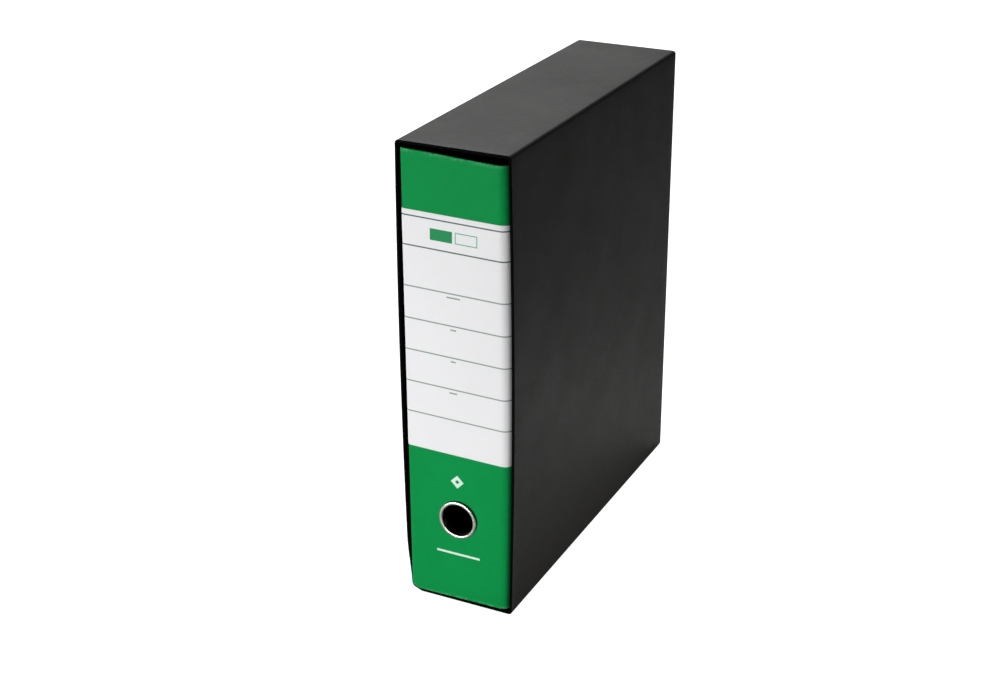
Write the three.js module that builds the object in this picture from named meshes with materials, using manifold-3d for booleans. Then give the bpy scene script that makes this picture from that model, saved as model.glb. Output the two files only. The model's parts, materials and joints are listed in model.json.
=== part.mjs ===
// Lever arch file standing in its slipcase: a covered card box, open at the front, that holds a hinged
// cover with a finger ring in the spine and a steel lever arch mechanism riveted inside the rear cover.
// Millimetres. +Z is up, the spine faces -Y, the rear cover is on the -X side and the front cover on +X.
import * as THREE from "three";
import { mergeVertices } from "three/addons/utils/BufferGeometryUtils.js";
import Module from "manifold-3d";

const wasm = await Module();
wasm.setup();

// ---- Cover of the file ----
const spineWidth = 80; // outside of rear cover to outside of front cover
const coverHeight = 343;
const coverDepth = 298; // outside of spine to fore-edge
const board = 2; // greyboard covered with paper
const spineRadius = 7; // outside radius of the two long edges of the spine
const spineReturn = 8.5; // depth of the spine's folded sides, from its outer face
const creaseGap = 0.6; // between a folded side and its cover board
const coverBow = 2; // how far the front cover swells at the mouth, at mid height
const layerGap = 0.3; // between faces that touch
const sheet = 0.3; // lining paper and hinge tape
const tapeDepth = 15;
const liningMargin = 5; // turned-in border round each lining sheet

// ---- Slipcase ----
const caseBoard = 2;
const sideClearance = 0.5;
const bowClearance = 0.4; // extra room where the walls swell
const bottomClearance = 0.3;
const topClearance = 2.7;
const backClearance = 1;
const spineProud = 1; // the spine stands this far out of the mouth
const caseJoint = 0.3; // glue line between the case panels

// ---- Label and finger ring ----
const labelBottom = 119.5; // above the bottom edge of the cover
const labelHeight = 180;
const labelThickness = 0.25;
const labelWrap = 1; // how far the label follows each rounded edge, in radians
const ringHeight = 67.5; // centre, above the bottom edge of the cover
const ringBore = 12.4;
const ringFlangeWidth = 2.6;
const ringWall = 0.6;
const ringRise = 1; // thickness of the domed flange
const ringLip = 1.4; // how far the rolled lip and the washer reach past the barrel
const washerWidth = 3.2;
const washerThickness = 0.7;
const ringSides = 40;

// ---- Lever arch mechanism ----
const plateThickness = 1.2;
const plateEdge = 13; // plate past the arch pivot, towards the spine
const plateFront = 8; // plate past the posts, towards the fore-edge
const plateOverhang = 19; // plate past each post, along the height
const plateCorner = 6;
const postPitch = 80; // standard hole spacing
const archSpan = 45; // arch pivot to post
const archHeadroom = 10; // from the top of the closed arch to the front lining
const archCorner = 16; // centreline radius of the top bends
const archTail = 2; // straight end of each arch, over its post
const wireRadius = 2;
const springRelief = 0.5; // between the leaf spring and the wire
const wireBend = 5;
const crankReach = 17;
const crankHalfWidth = 9;
const crankBend = 3.5;
const postRadius = 2.1;
const postFootRim = 1.3; // past the shank
const postFootHeight = 1;
const postTaper = 2;
const tipClearance = 0.3;
const lugInset = 16; // wire lugs, from each arch towards the middle
const lugWidth = 7;
const lugWall = 1.2;
const wireClearance = 0.35;
const rollerRadius = 4;
const rollerSideGap = 0.4;
const rollerArm = 9;
const rollerArmAngle = -130; // degrees from the fore-edge direction, lever closed
const rollerGap = 0.3;
const leverClosedAngle = 155; // degrees from the fore-edge direction
const leverHeadroom = 3.2; // from the tip, straight up, to the front lining
const leverTipGap = 8.5; // from the tip, lever closed, to the spine
const leverMetal = 1.2;
const cheekInner = 4.6; // half the clear width between the lever's cheeks
const webOffset = 4.8; // outer face of the lever's web, from its pivot
const leverHeel = 4.5; // lever behind its pivot
const leverNeck = 0.5; // where the cheeks end, as a share of the lever's length
const neckFlare = 12; // length over which the handle widens
const gripArch = 1.6; // how far the handle's middle curves away from its ends
const gripDip = 0.6;
const gripHalfWidth = 10;
const gripHole = 5;
const rollerBoss = 3.3; // cheek round the roller's pin
const earGap = 0.6;
const earRadius = 4.2;
const earClearance = 1.2; // from the crank to the ears
const pinRadius = 1.5;
const rollerPinRadius = 1.2;
const pinClearance = 0.2;
const pinHead = 1;
const rollerPinHead = 0.6;
const springThickness = 0.5;
const springHalfWidth = 5;
const springBorder = 1; // from the plate's edge to the spring
const springEnd = 4; // from the spring's end to its rivet
const springTip = 1; // spring past the crank
const rivetRadius = 1.9;
const rivetRim = 1.7; // head past the shank
const springRivetRim = 1;
const rivetHeadHeight = 1.1;
const rivetTail = 0.8; // thickness outside the rear cover
const rivetTailChamfer = 0.3;
const rivetClearance = 0.3;
const rivetPastPost = 10; // along the height, from each post
const rivetBorder = 7; // from the plate's edge near the spine
const rivetFront = 12; // from the posts towards the spine

// ---- Compressor bar ----
const barPastPost = 20;
const barHalfWidth = 6;
const barMetal = 1;
const barHeight = 4.6;
const barLip = 2.2; // inward fold that keeps the locks in the bar
const barHoleClearance = 0.5;
const lockThickness = 1;
const lockHalfWidth = 4.6;
const lockTabHalfWidth = 3;
const lockTabHeight = 11;
const lockBeforePost = 10;
const lockPastPost = 15;
const lockTravel = 3;

const roundSides = 24;
const rad = THREE.MathUtils.degToRad;

// ---- Sizes that follow ----
const caseInnerHalf = spineWidth / 2 + sideClearance;
const caseHeight = coverHeight + bottomClearance + topClearance + 2 * caseBoard;
const caseDepth = coverDepth - spineProud + backClearance + caseBoard;
const coverBottom = caseBoard + bottomClearance;
const coverMiddle = coverBottom + coverHeight / 2;
const spineFace = -spineProud;
const spineInner = spineFace + board;
const coverStart = spineFace + spineReturn + creaseGap;
const coverEnd = spineFace + coverDepth;
const coverInnerHalf = spineWidth / 2 - board;
const liningHalf = coverInnerHalf - layerGap - sheet; // inner face of both linings
const ringRear = board + 3 * layerGap + sheet; // seat of the washer, behind the spine's outer face
const ringFlange = ringBore + ringFlangeWidth;
const frontReach = spineProud + layerGap + ringRise;

const plateSeat = liningHalf - layerGap; // underside of the plate, from the middle of the file
const archRoom = plateSeat + liningHalf; // plate underside to front lining
const postHalf = postPitch / 2;
const wireLift = layerGap + springThickness + springRelief; // clear height between plate and wire
const shaftHeight = plateThickness + wireLift + wireRadius;
const archTop = archRoom - archHeadroom - wireRadius; // centreline
const archEnd = archTop - archCorner - archTail;
const rollerHeight = shaftHeight + wireRadius + rollerGap + rollerRadius;
const pivotHeight = rollerHeight - rollerArm * Math.sin(rad(rollerArmAngle));
const leverLength = archRoom - pivotHeight - leverHeadroom;
const tipReach = -leverLength * Math.cos(rad(leverClosedAngle));
const pivotOffset = crankReach - rollerArm * Math.cos(rad(rollerArmAngle)); // from the arch pivot
const archPivot = leverTipGap + tipReach - pivotOffset; // from the spine's inner face
const leverPivot = archPivot + pivotOffset;
const postLine = archPivot + archSpan;
const cheekOuter = cheekInner + leverMetal;
const earInner = cheekOuter + earGap;
const earOuter = earInner + leverMetal;
const postFoot = postRadius + postFootRim;
const footTop = plateThickness + layerGap + postFootHeight;
const springRivet = archPivot - plateEdge + springBorder + springEnd;

// ---- Finishes ----
const finish = (color, roughness, metalness = 0) =>
  new THREE.MeshStandardMaterial({ color, roughness, metalness });
const blackPaper = finish(0x2b2a29, 0.75);
const greenPaper = finish(0x14854a, 0.55);
const liningPaper = finish(0x464747, 0.8);
const labelPaper = finish(0xe9e9ec, 0.6);
const nickel = finish(0xc9c9c4, 0.25, 1);
const springSteel = finish(0x8d9094, 0.35, 1);
const zincPlate = finish(0xb4b7ba, 0.35, 1);

// ---- Solids ----
function solidOf(geometry) {
  const bare = geometry.clone();
  bare.deleteAttribute("normal");
  bare.deleteAttribute("uv");
  const merged = mergeVertices(bare, 1e-4);
  const triVerts = new Uint32Array(merged.index.array);
  const vertProperties = merged.attributes.position.array;
  return new wasm.Manifold(new wasm.Mesh({ numProp: 3, vertProperties, triVerts }));
}

function geometryOf(solid) {
  const { vertProperties, triVerts } = solid.getMesh();
  const geometry = new THREE.BufferGeometry();
  geometry.setAttribute("position", new THREE.BufferAttribute(vertProperties, 3));
  geometry.setIndex(new THREE.BufferAttribute(triVerts, 1));
  geometry.computeVertexNormals();
  return geometry;
}

const join = (...parts) => geometryOf(parts.map(solidOf).reduce((a, b) => a.add(b)));
const overlapOf = (a, b) => geometryOf(solidOf(a).intersect(solidOf(b)));
const cut = (body, ...tools) => geometryOf(tools.map(solidOf).reduce((a, b) => a.subtract(b), solidOf(body)));

// A shape in the XY plane, extruded along +Z.
function extrude(shape, depth, steps = 1, curveSegments = 8) {
  return new THREE.ExtrudeGeometry(shape, { depth, steps, curveSegments, bevelEnabled: false });
}

// A shape in the XY plane, extruded by width and centred on Z = 0.
const across = (shape, width) => extrude(shape, width).translate(0, 0, -width / 2);

// A plan outline in X and Z, extruded up Y from zero.
const upright = (shape, height) => extrude(shape, height).rotateX(-Math.PI / 2);

function polygon(points) {
  return new THREE.Shape(points.map(([x, y]) => new THREE.Vector2(x, y)));
}

function roundedRectangle(x0, y0, x1, y1, radius) {
  const shape = new THREE.Shape();
  shape.absarc(x1 - radius, y0 + radius, radius, -Math.PI / 2, 0);
  shape.absarc(x1 - radius, y1 - radius, radius, 0, Math.PI / 2);
  shape.absarc(x0 + radius, y1 - radius, radius, Math.PI / 2, Math.PI);
  shape.absarc(x0 + radius, y0 + radius, radius, Math.PI, 1.5 * Math.PI);
  shape.closePath();
  return shape;
}

// A box between two corners, with more divisions where a wall swells.
function box([x0, y0, z0], [x1, y1, z1], divisions = [1, 1, 1]) {
  const geometry = new THREE.BoxGeometry(x1 - x0, y1 - y0, z1 - z0, ...divisions);
  return geometry.translate((x0 + x1) / 2, (y0 + y1) / 2, (z0 + z1) / 2);
}

const cylinderY = (radius, y0, y1, sides = roundSides) =>
  new THREE.CylinderGeometry(radius, radius, y1 - y0, sides).translate(0, (y0 + y1) / 2, 0);

const cylinderZ = (radius, halfLength) =>
  new THREE.CylinderGeometry(radius, radius, 2 * halfLength, roundSides).rotateX(Math.PI / 2);

const turned = (profile, sides = roundSides) =>
  new THREE.LatheGeometry(
    profile.map(([r, y]) => new THREE.Vector2(r, y)),
    sides,
  );

// Moves each vertex along X by a function of its place.
function swell(geometry, amount) {
  const p = geometry.getAttribute("position");
  for (let i = 0; i < p.count; i++) {
    p.setX(i, p.getX(i) + amount(p.getX(i), p.getY(i), p.getZ(i)));
  }
  geometry.computeVertexNormals();
  return geometry;
}

// Share of the swelling at a depth and height: full at the mouth and mid height, none at the back wall.
const bowShare = (y, z) => Math.sin((Math.PI * z) / caseHeight) * (1 - y / caseDepth);
const coverSwell = (x, y, z) => (coverBow * bowShare(y, z) * Math.max(0, x)) / (spineWidth / 2);

// ---- Scene graph ----
const group = new THREE.Group();
const slipcase = new THREE.Group();
const file = new THREE.Group();
group.add(slipcase, file);
group.position.y = (frontReach - caseDepth) / 2;

function piece(parent, name, geometry, material) {
  const mesh = new THREE.Mesh(geometry, material);
  mesh.name = name;
  parent.add(mesh);
  return mesh;
}

// ---- Slipcase: two swelling walls, with the back, top and bottom panels glued between them ----
function caseWall(side) {
  const bow = coverBow + bowClearance;
  const wall = box([-caseBoard / 2, 0, 0], [caseBoard / 2, caseDepth, caseHeight], [1, 8, 12]);
  wall.translate(side * (caseInnerHalf + caseBoard / 2), 0, 0);
  return swell(wall, (x, y, z) => side * bow * bowShare(y, z));
}

function buildSlipcase() {
  const half = caseInnerHalf - caseJoint;
  const top = caseHeight - caseBoard;
  const backInner = caseDepth - caseBoard;
  piece(slipcase, "case_left_wall", caseWall(-1), blackPaper);
  piece(slipcase, "case_right_wall", caseWall(1), blackPaper);
  piece(slipcase, "case_bottom_panel", box([-half, 0, 0], [half, caseDepth, caseBoard]), blackPaper);
  piece(slipcase, "case_top_panel", box([-half, 0, top], [half, caseDepth, caseHeight]), blackPaper);
  const back = box([-half, backInner, caseBoard + caseJoint], [half, caseDepth, top - caseJoint]);
  piece(slipcase, "case_back_wall", back, blackPaper);
}

// ---- Cover: spine, two cover boards, hinge tapes and linings ----

// Section of a layer that follows the spine's outer face at two offsets, round both edges by an angle
// and then straight back to a given depth where the angle is a right one.
function spineSection(outer, inner, angle, depth) {
  const half = spineWidth / 2 - spineRadius;
  const centre = spineFace + spineRadius;
  const shape = new THREE.Shape();
  const start = 1.5 * Math.PI - angle;
  const end = 1.5 * Math.PI + angle;
  if (depth) shape.moveTo(-half - spineRadius - outer, spineFace + depth);
  shape.absarc(-half, centre, spineRadius + outer, start, 1.5 * Math.PI);
  shape.absarc(half, centre, spineRadius + outer, 1.5 * Math.PI, end);
  if (depth) shape.lineTo(half + spineRadius + outer, spineFace + depth);
  if (depth) shape.lineTo(half + spineRadius + inner, spineFace + depth);
  shape.absarc(half, centre, spineRadius + inner, end, 1.5 * Math.PI, true);
  shape.absarc(-half, centre, spineRadius + inner, 1.5 * Math.PI, start, true);
  if (depth) shape.lineTo(-half - spineRadius - inner, spineFace + depth);
  shape.closePath();
  return shape;
}

function buildSpine() {
  const ringZ = coverBottom + ringHeight;
  const ringHole = ringBore + ringWall + layerGap;
  const hole = cylinderY(ringHole, spineFace - board, spineInner + board, ringSides).translate(0, 0, ringZ);
  const shell = extrude(spineSection(0, -board, Math.PI / 2, spineReturn), coverHeight, 10, 5);
  const spine = swell(shell.translate(0, 0, coverBottom), coverSwell);
  piece(file, "spine_board", cut(spine, hole), greenPaper);

  const paper = spineSection(layerGap + labelThickness, layerGap, labelWrap, 0);
  const label = extrude(paper, labelHeight, 8, 4).translate(0, 0, coverBottom + labelBottom);
  piece(file, "spine_label", swell(label, coverSwell), labelPaper);

  const front = spineInner + layerGap;
  const half = spineWidth / 2 - spineRadius;
  const low = coverBottom + liningMargin;
  const high = coverBottom + coverHeight - liningMargin;
  const lining = box([-half, front, low], [half, front + sheet, high]);
  piece(file, "spine_lining_sheet", cut(lining, hole), liningPaper);
  buildRing(ringZ);
}

// The eyelet's domed flange, barrel and rolled lip, and the washer that the lip holds inside the spine.
function buildRing(height) {
  const barrel = ringBore + ringWall;
  const washerTop = ringRear + washerThickness;
  const lip = washerTop + layerGap;
  const dome = Array.from({ length: 9 }, (_, k) => {
    const turn = Math.PI * (1 - k / 8);
    const radius = ringBore + (ringFlangeWidth / 2) * (1 + Math.cos(turn));
    return [radius, -layerGap - ringRise * Math.sin(turn)];
  });
  const eyelet = turned(
    [
      [ringBore, lip + ringWall],
      ...dome,
      [barrel, -layerGap],
      [barrel, lip],
      [barrel + ringLip, lip],
      [barrel + ringLip, lip + ringWall],
      [ringBore, lip + ringWall],
    ],
    ringSides,
  );
  const washerInner = barrel + layerGap;
  const washer = turned(
    [
      [washerInner, ringRear],
      [washerInner + washerWidth, ringRear],
      [washerInner + washerWidth, washerTop],
      [washerInner, washerTop],
      [washerInner, ringRear],
    ],
    ringSides,
  );
  const at = (mesh) => mesh.position.set(0, spineFace, height);
  at(piece(file, "finger_ring_eyelet", eyelet, nickel));
  at(piece(file, "finger_ring_washer", washer, nickel));
}

// Where the fixing rivets stand, as distance from the spine's inner face and offset along the height.
const rivetPlaces = [-1, 1].flatMap((end) => [
  [archPivot - plateEdge + rivetBorder, end * (postHalf + rivetPastPost)],
  [postLine - rivetFront, end * (postHalf + rivetPastPost)],
]);

function rivetHoles(body) {
  const tools = rivetPlaces.map(([u, w]) => {
    const hole = cylinderZ(rivetRadius + rivetClearance, 3 * board).rotateY(Math.PI / 2);
    return hole.translate(-coverInnerHalf, spineInner + u, coverMiddle - w);
  });
  return cut(body, ...tools);
}

function buildCovers() {
  const top = coverBottom + coverHeight;
  const outer = spineWidth / 2;
  const rear = box([-outer, coverStart, coverBottom], [-coverInnerHalf, coverEnd, top]);
  const front = box([coverInnerHalf, coverStart, coverBottom], [outer, coverEnd, top], [1, 8, 12]);
  piece(file, "rear_cover_board", rivetHoles(rear), greenPaper);
  piece(file, "front_cover_board", swell(front, coverSwell), greenPaper);

  const low = coverBottom + liningMargin;
  const high = top - liningMargin;
  const tapeStart = spineFace + spineRadius + layerGap;
  const sheetStart = tapeStart + tapeDepth + layerGap;
  const sheetEnd = coverEnd - liningMargin;
  const layer = (y0, y1) => box([liningHalf, y0, low], [liningHalf + sheet, y1, high], [1, 6, 12]);
  const rearLayer = (y0, y1) => box([-liningHalf - sheet, y0, low], [-liningHalf, y1, high]);
  piece(file, "front_hinge_tape", swell(layer(tapeStart, tapeStart + tapeDepth), coverSwell), liningPaper);
  piece(file, "rear_hinge_tape", rearLayer(tapeStart, tapeStart + tapeDepth), liningPaper);
  piece(file, "front_lining_sheet", swell(layer(sheetStart, sheetEnd), coverSwell), liningPaper);
  piece(file, "rear_lining_sheet", rivetHoles(rearLayer(sheetStart, sheetEnd)), liningPaper);
}

// ---- Mechanism frame: X runs from the spine towards the fore-edge, Y off the plate, Z down the file ----
const mechanism = new THREE.Group();
file.add(mechanism);
const basis = new THREE.Matrix4().makeBasis(
  new THREE.Vector3(0, 1, 0),
  new THREE.Vector3(1, 0, 0),
  new THREE.Vector3(0, 0, -1),
);
mechanism.quaternion.setFromRotationMatrix(basis);
mechanism.position.set(-plateSeat, spineInner, coverMiddle);

// An ear that holds the lever's pin: a tab from the plate up to a round end, clear of the crank.
function ear(side) {
  const foot = archPivot + crankReach + wireRadius + earClearance;
  const shape = new THREE.Shape();
  shape.moveTo(foot, 0);
  shape.lineTo(leverPivot + 2 * earRadius, 0);
  shape.lineTo(leverPivot + 2 * earRadius, 2 * plateThickness);
  shape.absarc(leverPivot, pivotHeight, earRadius, -0.15 * Math.PI, 0.97 * Math.PI);
  shape.lineTo(foot, pivotHeight - 2 * earRadius);
  shape.closePath();
  const tab = across(shape, leverMetal);
  return tab.translate(0, 0, side * (earInner + leverMetal / 2));
}

// A lug that bridges the wire and lets it turn.
function wireLug(side) {
  const inner = wireRadius + wireClearance;
  const outer = inner + lugWall;
  const shape = new THREE.Shape();
  shape.moveTo(archPivot + inner, plateThickness / 2);
  shape.lineTo(archPivot + outer, plateThickness / 2);
  shape.absarc(archPivot, shaftHeight, outer, 0, Math.PI);
  shape.lineTo(archPivot - outer, plateThickness / 2);
  shape.lineTo(archPivot - inner, plateThickness / 2);
  shape.absarc(archPivot, shaftHeight, inner, Math.PI, 0, true);
  shape.closePath();
  return across(shape, lugWidth).translate(0, 0, side * (postHalf - lugInset));
}

function buildPlate() {
  const half = postHalf + plateOverhang;
  const outline = roundedRectangle(archPivot - plateEdge, -half, postLine + plateFront, half, plateCorner);
  const hole = (radius, u, w) => cylinderY(radius, -1, 2 * plateThickness).translate(u, 0, w);
  const earHole = cylinderZ(pinRadius + pinClearance, 2 * earOuter).translate(leverPivot, pivotHeight, 0);
  const body = join(upright(outline, plateThickness), ear(-1), ear(1), wireLug(-1), wireLug(1));
  const plate = cut(
    body,
    earHole,
    hole(postRadius, postLine, postHalf),
    hole(postRadius, postLine, -postHalf),
    hole(rivetRadius, springRivet, 0),
    ...rivetPlaces.map(([u, w]) => hole(rivetRadius + rivetClearance, u, w)),
  );
  piece(mechanism, "base_plate", plate, zincPlate);
}

// A post riveted into the plate: spigot, foot, shank and tapered tip.
function buildPost(name, side) {
  const spigot = postRadius - layerGap;
  const top = archEnd - tipClearance;
  const post = turned([
    [0, 0],
    [spigot, 0],
    [spigot, plateThickness + layerGap],
    [postFoot, plateThickness + layerGap],
    [postFoot, footTop],
    [postRadius, footTop],
    [postRadius, top - postTaper],
    [postRadius / 2, top],
    [0, top],
  ]);
  piece(mechanism, name, post, nickel).position.set(postLine, 0, side * postHalf);
}

// A path through given points, one extrusion step between neighbours.
class WirePath extends THREE.Curve {
  constructor(points) {
    super();
    this.points = points;
  }
  getPoint(t) {
    const f = t * (this.points.length - 1);
    const i = Math.min(Math.floor(f), this.points.length - 2);
    return this.points[i].clone().lerp(this.points[i + 1], f - i);
  }
  getPointAt(t) {
    return this.getPoint(t);
  }
  getTangentAt(t) {
    const last = this.points.length - 1;
    const i = Math.round(t * last);
    const before = this.points[Math.max(i - 1, 0)];
    const after = this.points[Math.min(i + 1, last)];
    const here = this.points[i];
    const into = here.clone().sub(before).normalize();
    const out = after.clone().sub(here).normalize();
    return into.add(out).normalize();
  }
}

// Points along a bent wire: straight runs between corners, each corner an arc of its own radius.
function bentPoints(corners, radii, perBend = 6) {
  const points = [corners[0]];
  for (let i = 1; i < corners.length - 1; i++) {
    const into = corners[i].clone().sub(corners[i - 1]).normalize();
    const out = corners[i + 1].clone().sub(corners[i]).normalize();
    const turn = into.angleTo(out);
    const setback = radii[i - 1] * Math.tan(turn / 2);
    const inward = out.clone().sub(into).normalize();
    const toCentre = radii[i - 1] / Math.cos(turn / 2);
    const centre = corners[i].clone().addScaledVector(inward, toCentre);
    const start = corners[i].clone().addScaledVector(into, -setback).sub(centre);
    const axis = into.clone().cross(out).normalize();
    for (let k = 0; k <= perBend; k++) {
      points.push(start.clone().applyAxisAngle(axis, (turn * k) / perBend).add(centre));
    }
  }
  return [...points, corners[corners.length - 1]];
}

// Both arches are one wire: post, over the top, down to the pivot line, and out to the crank in the middle.
function buildArch() {
  const at = (u, v, w) => new THREE.Vector3(u, v, w);
  const half = [
    at(postLine, archEnd, postHalf),
    at(postLine, archTop, postHalf),
    at(archPivot, archTop, postHalf),
    at(archPivot, shaftHeight, postHalf),
    at(archPivot, shaftHeight, crankHalfWidth),
    at(archPivot + crankReach, shaftHeight, crankHalfWidth),
  ];
  const other = half.map((p) => at(p.x, p.y, -p.z)).reverse();
  const bends = [archCorner, archCorner, wireBend, crankBend, crankBend];
  const points = bentPoints([...half, ...other], [...bends, ...bends.toReversed()]);
  const section = new THREE.Shape();
  section.absarc(0, 0, wireRadius, 0, 2 * Math.PI);
  const wire = new THREE.ExtrudeGeometry(section, {
    steps: points.length - 1,
    curveSegments: 6,
    extrudePath: new WirePath(points),
    bevelEnabled: false,
  });
  piece(mechanism, "arch_wire", wire, nickel);
}

// ---- Lever: X along the handle, Y towards the plate, with the pivot at the origin ----
const lever = new THREE.Group();
mechanism.add(lever);
lever.position.set(leverPivot, pivotHeight, 0);
lever.rotation.z = rad(leverClosedAngle);
const rollerTurn = rad(rollerArmAngle - leverClosedAngle);
const rollerAt = new THREE.Vector2(Math.cos(rollerTurn), Math.sin(rollerTurn)).multiplyScalar(rollerArm);

// A strip of constant thickness whose outer face follows a curve.
function stripShape(curve, thickness, samples) {
  const outer = curve.getPoints(samples);
  const inner = outer.map((p, i) => {
    const t = curve.getTangent(i / samples);
    return new THREE.Vector2(p.x - t.y * thickness, p.y + t.x * thickness);
  });
  return new THREE.Shape([...outer, ...inner.reverse()]);
}

function buildLever() {
  const neck = leverNeck * leverLength;
  const middle = (neck + leverLength) / 2;
  const profile = new THREE.SplineCurve([
    new THREE.Vector2(-leverHeel, -webOffset),
    new THREE.Vector2(neck - neckFlare, -webOffset),
    new THREE.Vector2(middle, gripArch - webOffset),
    new THREE.Vector2(leverLength, -gripDip - webOffset),
  ]);
  const strip = across(stripShape(profile, leverMetal, 16), 2 * gripHalfWidth);
  const outline = new THREE.Shape();
  const bend = neck + neckFlare / 2;
  const wide = neck + neckFlare;
  outline.moveTo(-2 * leverHeel, -cheekOuter);
  outline.lineTo(neck, -cheekOuter);
  outline.bezierCurveTo(bend, -cheekOuter, bend, -gripHalfWidth, wide, -gripHalfWidth);
  outline.lineTo(leverLength - gripHalfWidth, -gripHalfWidth);
  outline.absarc(leverLength - gripHalfWidth, 0, gripHalfWidth, -Math.PI / 2, Math.PI / 2);
  outline.lineTo(wide, gripHalfWidth);
  outline.bezierCurveTo(bend, gripHalfWidth, bend, cheekOuter, neck, cheekOuter);
  outline.lineTo(-2 * leverHeel, cheekOuter);
  outline.closePath();
  const planCut = upright(outline, 4 * webOffset).translate(0, -3 * webOffset, 0);
  const fingerHole = cylinderY(gripHole, -3 * webOffset, webOffset, ringSides);
  fingerHole.translate(leverLength - gripHalfWidth, 0, 0);
  const web = cut(overlapOf(strip, planCut), fingerHole);

  const inWeb = leverMetal / 2 - webOffset;
  const cheekShape = new THREE.Shape();
  cheekShape.moveTo(-leverHeel, inWeb);
  cheekShape.lineTo(neck, inWeb);
  cheekShape.lineTo(neck, 2.5 * leverMetal - webOffset);
  cheekShape.quadraticCurveTo((neck + rollerAt.x) / 2, 0, rollerAt.x + rollerBoss, rollerAt.y - 1);
  cheekShape.absarc(rollerAt.x, rollerAt.y, rollerBoss, 0, Math.PI);
  cheekShape.quadraticCurveTo(-leverHeel, leverHeel, -leverHeel, 0);
  cheekShape.closePath();
  const cheek = (side) => across(cheekShape, leverMetal).translate(0, 0, side * (cheekInner + leverMetal / 2));
  const pivotHole = cylinderZ(pinRadius + pinClearance, 2 * cheekOuter);
  const rollerHole = cylinderZ(rollerPinRadius + pinClearance, 2 * cheekOuter);
  rollerHole.translate(rollerAt.x, rollerAt.y, 0);
  const arm = cut(join(web, cheek(-1), cheek(1)), pivotHole, rollerHole);
  piece(lever, "lever_arm", arm, nickel);
}

// A headed pin along Z, centred on the lever.
function headedPin(radius, halfLength, head, headRadius) {
  const profile = [
    [0, -halfLength - head],
    [headRadius - head / 3, -halfLength - head],
    [headRadius, -halfLength - (2 * head) / 3],
    [headRadius, -halfLength],
    [radius, -halfLength],
  ];
  const rest = profile.map(([r, y]) => [r, -y]).reverse();
  return turned([...profile, ...rest]).rotateX(Math.PI / 2);
}

function buildLeverPins() {
  const pivot = headedPin(pinRadius, earOuter + layerGap, pinHead, 1.9 * pinRadius);
  piece(mechanism, "lever_pivot_pin", pivot, zincPlate).position.set(leverPivot, pivotHeight, 0);
  const bore = rollerPinRadius + pinClearance;
  const rollerHalfWidth = cheekInner - rollerSideGap;
  const roller = turned([
    [bore, -rollerHalfWidth],
    [rollerRadius, -rollerHalfWidth],
    [rollerRadius, rollerHalfWidth],
    [bore, rollerHalfWidth],
    [bore, -rollerHalfWidth],
  ]).rotateX(Math.PI / 2);
  piece(lever, "roller", roller, springSteel).position.set(rollerAt.x, rollerAt.y, 0);
  const pin = headedPin(rollerPinRadius, cheekOuter + pinClearance, rollerPinHead, 1.6 * rollerPinRadius);
  piece(lever, "roller_pin", pin, zincPlate).position.set(rollerAt.x, rollerAt.y, 0);
}

// ---- Leaf spring under the crank, and the rivets ----
function buildSpring() {
  const seat = plateThickness + layerGap;
  const top = seat + springThickness;
  const start = springRivet - springEnd;
  const end = archPivot + crankReach + springTip;
  const leaf = box([start, seat, -springHalfWidth], [end, top, springHalfWidth]);
  const hole = cylinderY(rivetRadius, 0, 2 * top).translate(springRivet, 0, 0);
  piece(mechanism, "arch_spring", cut(leaf, hole), springSteel);
  const rivet = rivetProfile(0, top + layerGap, rivetRadius - rivetClearance, rivetRadius + springRivetRim);
  piece(mechanism, "spring_rivet", turned(rivet), zincPlate).position.set(springRivet, 0, 0);
}

// Profile of a rivet with a domed head above its shank.
function rivetProfile(bottom, head, radius, headRadius) {
  return [
    [0, bottom],
    [radius, bottom],
    [radius, head],
    [headRadius, head],
    [headRadius, head + 0.35 * rivetHeadHeight],
    [0.7 * headRadius, head + 0.85 * rivetHeadHeight],
    [0, head + rivetHeadHeight],
  ];
}

function buildFixingRivets() {
  const under = plateSeat - coverInnerHalf - board - layerGap; // outer face of the rear cover, less a gap
  const tail = under - rivetTail;
  const head = rivetRadius + rivetRim;
  rivetPlaces.forEach(([u, w], i) => {
    const top = rivetProfile(under, plateThickness + layerGap, rivetRadius, head);
    const profile = [[0, tail], [head - rivetTailChamfer, tail], [head, under], ...top.slice(1)];
    piece(mechanism, `fixing_rivet_${i + 1}`, turned(profile), zincPlate).position.set(u, 0, w);
  });
}

// ---- Compressor: a folded bar that slides on the posts, with a sliding lock at each end ----
const barSeat = footTop + layerGap;
const compressor = new THREE.Group();
mechanism.add(compressor);
compressor.position.set(postLine, barSeat, 0);

function buildCompressor() {
  const c = barHalfWidth;
  const t = barMetal;
  const channel = polygon([
    [-c, 0],
    [c, 0],
    [c, barHeight],
    [c - barLip, barHeight],
    [c - barLip, barHeight - t],
    [c - t, barHeight - t],
    [c - t, t],
    [t - c, t],
    [t - c, barHeight - t],
    [barLip - c, barHeight - t],
    [barLip - c, barHeight],
    [-c, barHeight],
  ]);
  const barHole = postRadius + barHoleClearance;
  const hole = (w) => cylinderY(barHole, -t, barHeight).translate(0, 0, w);
  const bar = cut(across(channel, 2 * (postHalf + barPastPost)), hole(postHalf), hole(-postHalf));
  piece(compressor, "compressor_bar", bar, nickel);
  buildLock("upper_compressor_lock", -1);
  buildLock("lower_compressor_lock", 1);
}

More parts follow.
